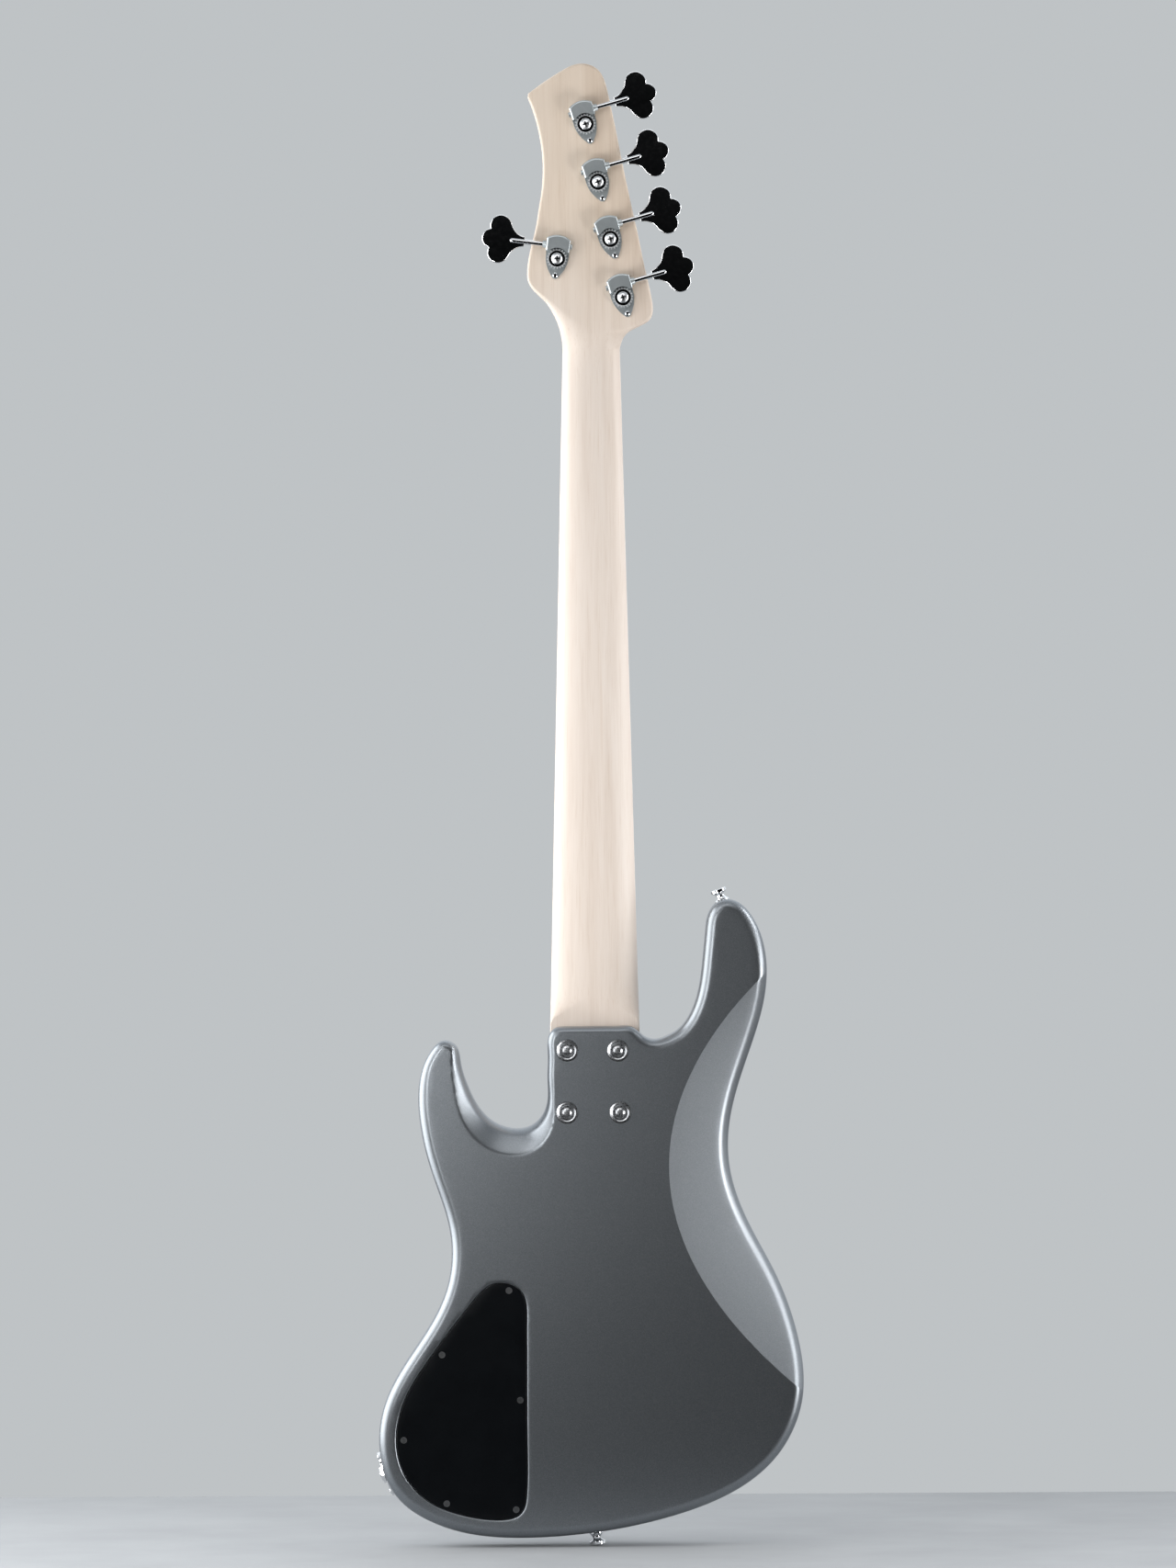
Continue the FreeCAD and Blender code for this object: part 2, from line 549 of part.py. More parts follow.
# ---------------------------------------------------------------- fingerboard, frets, markers, nut
board_blank = pad("board_blank", "XZ_Plane", lines([(-half_neck(HEEL_Z), HEEL_Z), (half_neck(HEEL_Z), HEEL_Z),
    (half_neck(NUT_Z), NUT_Z), (-half_neck(NUT_Z), NUT_Z)]), q("board_thickness"), (0, BOARD_TOP, 0))
camber = cyl("board_camber", q("camber_radius"), 660.0, (0, BOARD_TOP - n("camber_radius"), 300))
board_round = common("board_round", board_blank, camber)
btools = []
frets = []
for k in range(1, 23):
    z = fret_z(k)
    btools.append(box("fret_slot_%d" % k, 100.0, 6.0, 0.6, (-50, 26.3, z - 0.3)))
    R = n("camber_radius")
    w, h = n("fret_half_width"), n("fret_height")
    f = doc.addObject("PartDesign::Body", "fret_%d" % k)
    foot = R + 0.03
    arc = Part.Arc(V(foot, w, 0), V(foot + h, 0, 0), V(foot, -w, 0))
    edges = [arc] + [Part.LineSegment(V(a[0], a[1], 0), V(b[0], b[1], 0)) for a, b in (
        ((foot, -w), (foot, -0.22)), ((foot, -0.22), (R - 1.4, -0.22)), ((R - 1.4, -0.22), (R - 1.4, 0.22)),
        ((R - 1.4, 0.22), (foot, 0.22)), ((foot, 0.22), (foot, w)))]
    sk = sketch_in(f, "fret_%d_profile" % k, "YZ_Plane", edges)
    rev = f.newObject("PartDesign::Revolution", "fret_%d_bend" % k)
    rev.Profile = sk
    rev.ReferenceAxis = (sk, ["V_Axis"])
    rev.Midplane = True
    put(rev, "Angle", Q(2 * math.degrees(math.asin((half_neck(z) - 0.4) / R)),
                        "2 * asin(%r / Dims.camber_radius)" % (half_neck(z) - 0.4)))
    f.Tip = rev
    f.Placement = FreeCAD.Placement(V(0, BOARD_TOP - R, z), FreeCAD.Rotation())
    frets.append(f)
dots = []
for k in (3, 5, 7, 9, 12, 15, 17, 19, 21):
    z = (fret_z(k) + fret_z(k - 1)) / 2
    for x in ((-11, 11) if k == 12 else (0,)):
        y = BOARD_TOP - x * x / (2 * n("camber_radius")) - 0.06
        btools.append(cyl("dot_hole_%d_%d" % (k, x + 20), q("dot_radius") + 0.05, 4.0, (x, y - 1.6, z), (0, 1, 0)))
        dots.append(cyl("dot_%d_%d" % (k, x + 20), q("dot_radius"), 1.55, (x, y - 1.55, z), (0, 1, 0)))
    for dz in ((-4, 4) if k == 12 else (0,)):
        x = half_neck(z + dz)
        btools.append(cyl("side_hole_%d_%d" % (k, dz + 10), q("side_dot_radius") + 0.05, 4.0, (x - 1.6, 27.0, z + dz), (1, 0, 0)))
        dots.append(cyl("side_dot_%d_%d" % (k, dz + 10), q("side_dot_radius"), 1.5, (x - 1.55, 27.0, z + dz), (1, 0, 0)))
fingerboard = deliver(cut("fingerboard", board_round, btools), "fingerboard")
deliver(group("frets", frets), "frets")
deliver(group("fret_markers", dots), "fret_markers")

SP_N, SP_B = n("string_spacing_nut"), n("string_spacing_bridge")


def string_nut(i):
    x = (2 - i) * SP_N
    return x, 32.0 - x * x / 610.0 + STRINGS[i][0], NUT_Z + n("nut_thickness") / 2


def string_saddle(i):
    x = (2 - i) * SP_B
    return x, 35.6 - x * x / 616.0 + STRINGS[i][0], NUT_Z - n("scale_length") - STRINGS[i][1]


BAR_Y, BEND_Z = 28.6, 955.5
nut_blank = common("nut_blank", box("nut_bar", q("nut_width"), 10.0, q("nut_thickness"), (-n("nut_width") / 2, TOP, NUT_Z)),
                   cyl("nut_camber", q("camber_radius"), 20.0, (0, 33.1 - n("camber_radius"), NUT_Z - 5)))
nut_slots = []
for i in range(5):
    x, y, z = string_nut(i)
    r = STRINGS[i][0]
    fall = (0.0, BAR_Y - 0.3 - r - y, BEND_Z - z)
    size = math.hypot(fall[1], fall[2])
    nut_slots.append(cyl("nut_slot_%d" % i, r + 0.25, 6.0, (x, y, z - 5.0)))
    nut_slots.append(cyl("nut_fall_%d" % i, r + 0.35, 9.0, (x, y, z), (0.0, fall[1] / size, fall[2] / size)))
    nut_slots.append(box("nut_open_%d" % i, 2 * r + 0.7, 6.0, 12.0, (x - r - 0.35, y, z - 6.0)))
deliver(cut("nut", nut_blank, nut_slots), "nut")

# ---------------------------------------------------------------- truss rod and its nut
deliver(fuse("truss_rod", [box("rod_bar", q("rod_width"), 8.0, 618.0, (-n("rod_width") / 2, 16.0, 322)),
    cyl("rod_end", q("rod_end_radius"), 18.0, (0, ROD_Y, 937))]), "truss_rod")
rod_nut = turned("rod_nut_blank", [(q("rod_end_radius") + 0.06, 0), (q("rod_nut_radius"), 0),
    (q("rod_nut_radius"), 9.6), (n("rod_nut_radius") - 0.7, 10.4), (1.9, 10.4), (1.9, 8.6),
    (n("rod_end_radius") + 0.06, 8.6)], (0, ROD_Y, 947.0))
deliver(rod_nut, "truss_rod_nut")

# ---------------------------------------------------------------- string retainer on the headstock
bar = box("retainer_bar", 53.6, 5.0, 6.0, (-25.6, BAR_Y, 958))
rparts = [bar] + [cyl("retainer_leg_%d" % i, 2.3, BAR_Y + 0.4 - HEAD_FRONT, (x, HEAD_FRONT, z), (0, 1, 0)) for i, (x, z) in enumerate(RETAINER)]
deliver(cut("string_retainer", fuse("retainer_blank", rparts),
    [cyl("retainer_way_%d" % i, 1.6, 30.0, (x, HEAD_FRONT - 5, z), (0, 1, 0)) for i, (x, z) in enumerate(RETAINER)]),
    "string_retainer")


# ---------------------------------------------------------------- screws
def cross_slot(name, base, axis, reach, depth):
    """Cross recess cut into a screw head; base is the middle of the head's outer face."""
    r = turn_to(axis)
    made = []
    for k in (0, 90):
        b = box("%s_%d" % (name, k), 2 * reach, reach * 0.36, depth + 1.0, (0, 0, 0))
        turn = FreeCAD.Rotation(V(0, 0, 1), k)
        rot = r.multiply(turn)
        corner = rot.multVec(V(-reach, -reach * 0.18, -depth))
        b.Placement = FreeCAD.Placement(V(*base) + corner, rot)
        made.append(b)
    return made


def screw(name, seat, axis, shank, length, head_r, head_h, slot=True, tip=True, sunk=0.0):
    """A screw: seat is the point under the head, axis points from the tip to the head.
    A sunk head is a cone below the seat plane."""
    s, hr = shank, head_r
    sv = float(shank)
    if sunk:
        prof = [(0, 0), (hr, 0), (s, -sunk), (s, -length + 2 * sv), (0, -length)]
        top = 0.0
    else:
        hv = float(head_r)
        prof = [(0, head_h), (hv * 0.55, head_h * 0.92), (hv * 0.88, head_h * 0.6), (hr, head_h * 0.15), (hr, 0), (s, 0),
                (s, -length + 2 * sv), (0, -length)]
        top = head_h
    core = turned(name + "_core", prof, seat, axis)
    if not slot:
        return core
    return cut(name, core, cross_slot(name + "_cross", along(seat, axis, top), axis, float(head_r) * 0.55,
                                      max(0.8, float(head_r) * 0.32)))


hs = []
for i, t in enumerate(TUNERS):
    hs.append(screw("tuner_screw_%d" % i, tuner_point(t, 0, -12.9, n("tuner_plate")), (0, -1, 0), 1.0, 10.0, 2.1, 1.3))
for i, (x, z) in enumerate(RETAINER):
    hs.append(screw("retainer_screw_%d" % i, (x, BAR_Y + 5.0, z), (0, 1, 0), 1.3, 24.0, 2.5, 1.4))
deliver(group("headstock_screws", hs), "headstock_screws")

ferrules, nscrews = [], []
for i, (x, z) in enumerate(NECK_SCREWS):
    ferrules.append(turned("ferrule_%d" % i, [(n("neck_screw_radius") + 0.2, -3.0), (q("ferrule_radius"), -3.0),
        (q("ferrule_radius"), -0.2), (n("ferrule_radius") - 0.3, 0.5), (n("ferrule_radius") - 1.5, 0.75), (n("ferrule_radius") - 2.3, 0.35),
        (4.9, -1.5), (n("neck_screw_radius") + 0.2, -1.5)], (x, BACK, z), (0, -1, 0)))
    nscrews.append(screw("neck_screw_%d" % i, (x, BACK + 1.5, z), (0, -1, 0), q("neck_screw_radius"),
        n("neck_screw_length"), 4.1, 2.1))
deliver(group("neck_ferrules", ferrules), "neck_ferrules")
deliver(group("neck_screws", nscrews), "neck_screws")

# ---------------------------------------------------------------- control cover
cover_plate = doc.addObject("Part::Extrusion", "cover_plate")
cover_plate.Base = cover_sketch
cover_plate.DirMode = "Custom"
cover_plate.Dir = V(0, 1, 0)
put(cover_plate, "LengthFwd", q("cover_thickness"))
cover_plate.Solid = True
cover_plate.Placement = FreeCAD.Placement(V(0, BACK, 0), FreeCAD.Rotation())
sinks, cscrews = [], []
for i, (x, z) in enumerate(COVER_SCREWS):
    sinks.append(cone("cover_sink_%d" % i, 2.75, 1.4, 1.5, (x, BACK - 0.0, z), (0, 1, 0)))
    sinks.append(cyl("cover_way_%d" % i, q("cover_screw_radius") + 0.15, 6.0, (x, BACK - 1, z), (0, 1, 0)))
    cscrews.append(screw("cover_screw_%d" % i, (x, BACK + 0.05, z), (0, -1, 0), q("cover_screw_radius"), 11.0, 2.6, 0,
                         sunk=1.4))
deliver(cut("control_cover", cover_plate, sinks), "control_cover")
deliver(group("control_cover_screws", cscrews), "control_cover_screws")

# ---------------------------------------------------------------- strap buttons
def strap_button(name, base, axis):
    r = q("button_head_radius")
    return turned(name, [(1.95, 0.1), (n("button_head_radius") - 0.3, 0.1), (n("button_head_radius") - 0.25, 0.9), (4.3, 2.2), (3.3, 4.0),
        (3.25, 5.2), (3.9, 6.5), (5.5, 7.2), (r, 7.6), (r, 9.6), (5.7, 10.0), (4.2, 10.0), (1.95, 7.8)],
        base, axis)


deliver(strap_button("strap_button_up", UP_BASE, UP_AXIS), "strap_button_upper")
deliver(strap_button("strap_button_low", LOW_BASE, LOW_AXIS), "strap_button_lower")
deliver(group("strap_button_screws", [screw("strap_screw_" + k, along(p, a, 9.75), a, q("strap_screw_radius"), 35.0, 3.7, 0,
        sunk=2.1) for k, p, a in (("up", UP_BASE, UP_AXIS), ("low", LOW_BASE, LOW_AXIS))]), "strap_button_screws")

# ---------------------------------------------------------------- output jack
jp = pad("jack_plate_blank", "XY_Plane", [spline(oval(18.0, 13.0))], q("jack_plate_thickness"), JACK_SEAT, jack_frame)
jtools = [cyl("jack_way", q("jack_sleeve_radius") + 0.15, 10.0, along(JACK_SEAT, JACK_OUT, -3), JACK_OUT)]
jscrews = []
for side in (-1, 1):
    p = along(JACK_SEAT, JACK_ALONG, side * 14.0)
    jtools.append(cyl("jack_screw_way_%d" % (side + 1), 1.5, 10.0, along(p, JACK_OUT, -3), JACK_OUT))
    jscrews.append(screw("jack_screw_%d" % (side + 1), along(p, JACK_OUT, n("jack_plate_thickness")), JACK_OUT, 1.25, 13.0, 2.5, 1.2))
deliver(cut("jack_plate", jp, jtools), "jack_plate")
deliver(group("jack_plate_screws", jscrews), "jack_plate_screws")
deliver(turned("jack_socket_turned", [(q("jack_bore_radius"), -29.0), (q("jack_barrel_radius"), -29.0),
    (q("jack_barrel_radius"), -0.1), (q("jack_sleeve_radius"), -0.1), (q("jack_sleeve_radius"), 5.6),
    (n("jack_sleeve_radius") - 0.5, 6.0), (n("jack_bore_radius") + 0.5, 6.0), (q("jack_bore_radius"), 5.5)], JACK_SEAT, JACK_OUT),
    "jack_socket")
jn = pad("jack_nut_blank", "XY_Plane", lines(hexagon(12.7)), 2.4, along(JACK_SEAT, JACK_OUT, n("jack_plate_thickness")), jack_frame)
deliver(cut("jack_nut", jn, [cyl("jack_nut_way", q("jack_sleeve_radius") + 0.1, 8.0, along(JACK_SEAT, JACK_OUT, 1), JACK_OUT)]), "jack_nut")

# ---------------------------------------------------------------- electronics
bx, bz, by = -79.0, 38.5, n("cavity_floor") - n("battery_depth")
deliver(fuse("battery", [box("battery_case", q("battery_width"), q("battery_depth"), q("battery_length") - 3.0, (bx - 13.25, by, bz)),
    cyl("battery_plus", 2.9, 3.2, (bx - 6.5, by + 8.75, bz + 45.3)), cyl("battery_minus", 4.0, 3.2, (bx + 6.5, by + 8.75, bz + 45.3))]),
    "battery")
px, pz = -78.6, 104.0
board_bits = [box("board_sheet", q("board_width"), 1.6, q("board_length"), (px - 13, 11.4, pz))]
for k, (dx, dz, lx, lz, hh) in enumerate(((-10, 6, 9, 6, 3.0), (2, 8, 8, 8, 6.0), (-9, 20, 6, 12, 3.5), (3, 24, 9, 5, 2.5),
                                           (-10, 38, 8, 6, 5.0), (4, 36, 7, 8, 3.2))):
    board_bits.append(box("board_chip_%d" % k, lx, hh + 0.2, lz, (px + dx, 11.6 - hh - 0.2, pz + dz)))
deliver(fuse("preamp_board", board_bits), "preamp_board")

pots, pnuts = [], []
for label, x, z in KNOBS:
    pots.append(turned("pot_" + label, [(q("pot_shaft_radius") + q("pot_running"), 5.5), (q("pot_radius"), 5.5), (q("pot_radius"), 12.2),
        (n("pot_radius") - 0.8, 12.9), (q("pot_bushing_radius"), 12.9), (q("pot_bushing_radius"), 24.0),
        (q("pot_shaft_radius") + q("pot_running"), 24.0)], (x, 0, z), (0, 1, 0)))
    blank_nut = pad("pot_nut_blank_" + label, "XZ_Plane", lines([(x + a, z + b) for a, b in hexagon(10.0)]), 2.2, (0, FRONT + 2.2, 0))
    pnuts.append(cut("pot_nut_" + label, blank_nut, [cyl("pot_nut_way_" + label, q("pot_bushing_radius") + 0.1, 8.0, (x, 18, z), (0, 1, 0))]))
deliver(group("potentiometers", pots), "potentiometers")
deliver(group("pot_nuts", pnuts), "pot_nuts")

for label, x, z in KNOBS:
    y0 = 24.6
    top = n("knob_height")
    r = q("knob_radius")
    shell = doc.addObject("PartDesign::Body", "knob_shell_" + label)
    prof = [(n("pot_shaft_radius") + 0.03, 3.0), (6.6, 3.0), (6.6, 0.0), (r, 0.0), (r, 1.6), (n("knob_radius") - 0.5, 2.2), (n("knob_radius") - 0.8, top - 2.4),
            (n("knob_radius") - 1.6, top - 0.9), (n("knob_radius") - 3.0, top - 0.15), (0, top), (0, top - 3.0), (n("pot_shaft_radius") + 0.03, top - 3.0)]
    driven = [(i, "DistanceX", p[0]) for i, p in enumerate(prof) if isinstance(p[0], Q)]
    sk = sketch_in(shell, "knob_profile_" + label, "XZ_Plane", lines(prof), driven)
    rev = shell.newObject("PartDesign::Revolution", "knob_turn_" + label)
    rev.Profile = sk
    rev.ReferenceAxis = (sk, ["V_Axis"])
    rev.Angle = 360.0
    shell.Tip = rev
    doc.recompute()
    before = rev.Shape.Volume
    flute = shell.newObject("Sketcher::SketchObject", "knob_flute_line_" + label)
    flute.AttachmentSupport = [([f for f in shell.Origin.OriginFeatures if f.Role == "XY_Plane"][0], "")]
    flute.MapMode = "FlatFace"
    flute.AttachmentOffset = FreeCAD.Placement(V(0, 0, 3.0), FreeCAD.Rotation())
    flute.addGeometry(Part.Circle(V(n("knob_radius") - 0.1, 0, 0), V(0, 0, 1), 0.75), False)
    pocket = shell.newObject("PartDesign::Pocket", "knob_flute_" + label)
    pocket.Profile = flute
    pocket.Length = 9.2
    pocket.Reversed = True
    shell.Tip = pocket
    doc.recompute()
    if not pocket.Shape.Volume < before - 0.5:
        raise RuntimeError("flute cut nothing on " + label)
    pat = shell.newObject("PartDesign::PolarPattern", "knob_flutes_" + label)
    pat.Originals = [pocket]
    pat.Axis = (flute, ["N_Axis"])
    pat.Angle = 360.0
    pat.Occurrences = 24
    shell.Tip = pat
    shell.Placement = FreeCAD.Placement(V(x, y0, z), turn_to((0, 1, 0)))
    spindle = cyl("knob_spindle_" + label, q("pot_shaft_radius"), 30.0, (x, 6.5, z), (0, 1, 0))
    deliver(group("knob_" + label, [shell, spindle]), "knob_" + label)

# ---------------------------------------------------------------- bridge
BZ0, BZ1 = 34.0, 97.0
plate_y = FRONT + n("bridge_plate")
base_plate = box("bridge_base", q("bridge_width"), q("bridge_plate"), BZ1 - BZ0, (-n("bridge_width") / 2, FRONT, BZ0))
rear = box("bridge_rear", q("bridge_width"), 15.0, q("bridge_wall"), (-n("bridge_width") / 2, FRONT, BZ0))
rails = [box("bridge_rail_%d" % k, 2.0, 8.0, BZ1 - BZ0 - 12.0, (s, FRONT, BZ0)) for k, s in enumerate((-52.0, 50.0))]
btool = [cyl("bridge_way_%d" % i, 1.8, 8.0, (x, FRONT - 1, z), (0, 1, 0)) for i, (x, z) in enumerate(BRIDGE_SCREWS)]
SCREW_Y, BALL_Y = 27.4, 32.2
for i in range(5):
    x = (2 - i) * SP_B
    btool.append(cyl("intonation_way_%d" % i, q("intonation_radius") + 0.15, 8.0, (x, SCREW_Y, BZ0 - 2)))
    btool.append(cyl("string_way_%d" % i, STRINGS[i][0] + 0.5, 8.0, (x, BALL_Y + 0.48, BZ0 - 2)))
deliver(cut("bridge_plate", fuse("bridge_blank", [base_plate, rear] + rails), btool), "bridge_plate")
deliver(group("bridge_screws", [screw("bridge_screw_%d" % i, (x, plate_y, z), (0, 1, 0), 1.6, 22.0, 3.5, 1.7)
        for i, (x, z) in enumerate(BRIDGE_SCREWS)]), "bridge_screws")
iscrews, springs = [], []
for i in range(5):
    x, yc, zb = string_saddle(i)
    top = yc - STRINGS[i][0] - 0.3
    w = n("saddle_width")
    blk = pad("saddle_block_%d" % (i + 1), "YZ_Plane", lines([(25.0, -13), (25.0, 3), (top - 0.6, 3), (top, 1.6), (top, -0.8), (top - 3.2, -13)]),
              q("saddle_width"), (x, 0, zb), symmetric=True)
    groove = cyl("saddle_groove_%d" % (i + 1), STRINGS[i][0] + 0.5, 30.0, (x, yc + 0.15, zb - 14))
    st = [cyl("saddle_way_%d" % (i + 1), q("intonation_radius") + 0.15, 30.0, (x, SCREW_Y, zb - 14)), groove]
    grubs = []
    for s in (-1, 1):
        st.append(cyl("grub_way_%d_%d" % (i + 1, s + 1), 1.6, 30.0, (x + s * 5.6, 20.0, zb - 5.5), (0, 1, 0)))
        gt = top - 1.0
        g0 = cyl("grub_bar_%d_%d" % (i + 1, s + 1), 1.5, gt - plate_y - 0.1, (x + s * 5.6, plate_y + 0.1, zb - 5.5), (0, 1, 0))
        hexkey = pad("grub_key_%d_%d" % (i + 1, s + 1), "XZ_Plane", lines(hexagon(1.5)), 2.0, (x + s * 5.6, gt + 0.5, zb - 5.5))
        grubs.append(cut("grub_%d_%d" % (i + 1, s + 1), g0, [hexkey]))
    saddle = cut("saddle_body_%d" % (i + 1), blk, st)
    deliver(group("saddle_%d" % (i + 1), [saddle] + grubs), "saddle_%d" % (i + 1))
    iscrews.append(screw("intonation_screw_%d" % i, (x, SCREW_Y, BZ0), (0, 0, -1), q("intonation_radius"), zb - BZ0 - 1.0, 2.3, 1.9))
    coil_len = zb - 13.0 - 0.5 - (BZ0 + n("bridge_wall") + 0.4)
    helix = doc.addObject("Part::Helix", "spring_line_%d" % i)
    helix.Pitch = coil_len / 9.0
    helix.Height = coil_len
    put(helix, "Radius", q("spring_radius"))
    wire = doc.addObject("Part::Feature", "spring_wire_%d" % i)
    doc.recompute()
    pr = Part.Wire([Part.makeCircle(n("spring_wire"), V(n("spring_radius"), 0, 0), V(0, 1, 0))])
    wire.Shape = Part.Wire(helix.Shape.Edges).makePipeShell([pr], True, True)
    wire.Placement = FreeCAD.Placement(V(x, SCREW_Y, BZ0 + n("bridge_wall") + 0.4), FreeCAD.Rotation())
    springs.append(wire)
deliver(group("intonation_screws", iscrews), "intonation_screws")
deliver(group("intonation_springs", springs), "intonation_springs")


def string_xy(i, z):
    a, b = string_nut(i), string_saddle(i)
    f = (z - a[2]) / (b[2] - a[2])
    return a[0] + (b[0] - a[0]) * f, a[1] + (b[1] - a[1]) * f


# ---------------------------------------------------------------- pickups
poles, coils, pscrews = [], [], []
for label, z in PICKUPS:
    L, W, H = n("pickup_length"), n("pickup_width"), n("pickup_height")
    top = FRONT + 5.0
    r = 3.0
    a, b = L / 2 - r, W / 2 - r
    rounded = []
    for cx, cz, a0 in ((a, b, 0), (-a, b, 90), (-a, -b, 180), (a, -b, 270)):
        p = [V(cx + r * math.cos(math.radians(a0 + t)), cz + r * math.sin(math.radians(a0 + t)), 0) for t in (0, 45, 90)]
        rounded.append(p)
    edges = []
    for k in range(4):
        edges.append(Part.Arc(*rounded[k]))
        edges.append(Part.LineSegment(rounded[k][2], rounded[(k + 1) % 4][0]))
    case = pad("pickup_case_" + label, "XZ_Plane", edges, q("pickup_height"), (0, top, z))
    ct = [box("pickup_hollow_" + label, q("pickup_length") - 3.0, 30.0, q("pickup_width") - 3.0, (-L / 2 + 1.5, top - 1.6 - 30, z - W / 2 + 1.5))]
    bob = [box("coil_" + label, 92.0, 9.0, 13.0, (-46, 14.0, z - 6.5))]
    bt = []
    for i in range(5):
        for s in (-1, 1):
            x = string_xy(i, z)[0] + s * 2.7
            nm = "%s_%d_%d" % (label, i, s + 1)
            ct.append(cyl("pole_way_" + nm, q("pole_radius") + 0.1, 6.0, (x, top - 4, z), (0, 1, 0)))
            bt.append(cyl("pole_core_" + nm, q("pole_radius") + 0.1, 20.0, (x, 8, z), (0, 1, 0)))
            poles.append(cyl("pole_" + nm, q("pole_radius"), 17.2, (x, 9.4, z), (0, 1, 0)))
    for s in (-1, 1):
        nm = "%s_%d" % (label, s + 1)
        ct.append(cyl("pickup_way_" + nm, 1.6, 30.0, (s * 49.5, 0, z), (0, 1, 0)))
        pscrews.append(screw("pickup_screw_" + nm, (s * 49.5, top, z), (0, 1, 0), 1.3, 33.0, 2.6, 1.4))
    deliver(cut("pickup_cover_" + label, case, ct), "pickup_cover_" + label)
    coils.append(cut("coil_bobbin_" + label, bob[0], bt))
deliver(group("pickup_poles", poles), "pickup_poles")
deliver(group("pickup_coils", coils), "pickup_coils")
deliver(group("pickup_screws", pscrews), "pickup_screws")

# ---------------------------------------------------------------- tuners
PITCH = 2 * math.pi * n("gear_pitch_radius") / n("gear_teeth")
WB, WC = n("worm_offset"), n("worm_height")


def set_in(obj, t):
    obj.Placement = FreeCAD.Placement(V(t[0], HEAD_BACK, t[1]), tuner_frame(t))
    return obj


def gear_line():
    count = int(n("gear_teeth"))
    ro, rr = n("gear_outer"), n("gear_root")
    pts = []
    for k in range(count):
        mid = math.radians(90 + 360.0 / count * (k + 0.5))
        for rad, wide, side in ((rr, 1.15, -1), (ro, 0.55, -1), (ro, 0.55, 1), (rr, 1.15, 1)):
            t = mid + side * wide / 2 / rad
            pts.append((rad * math.cos(t), rad * math.sin(t)))
    return pts


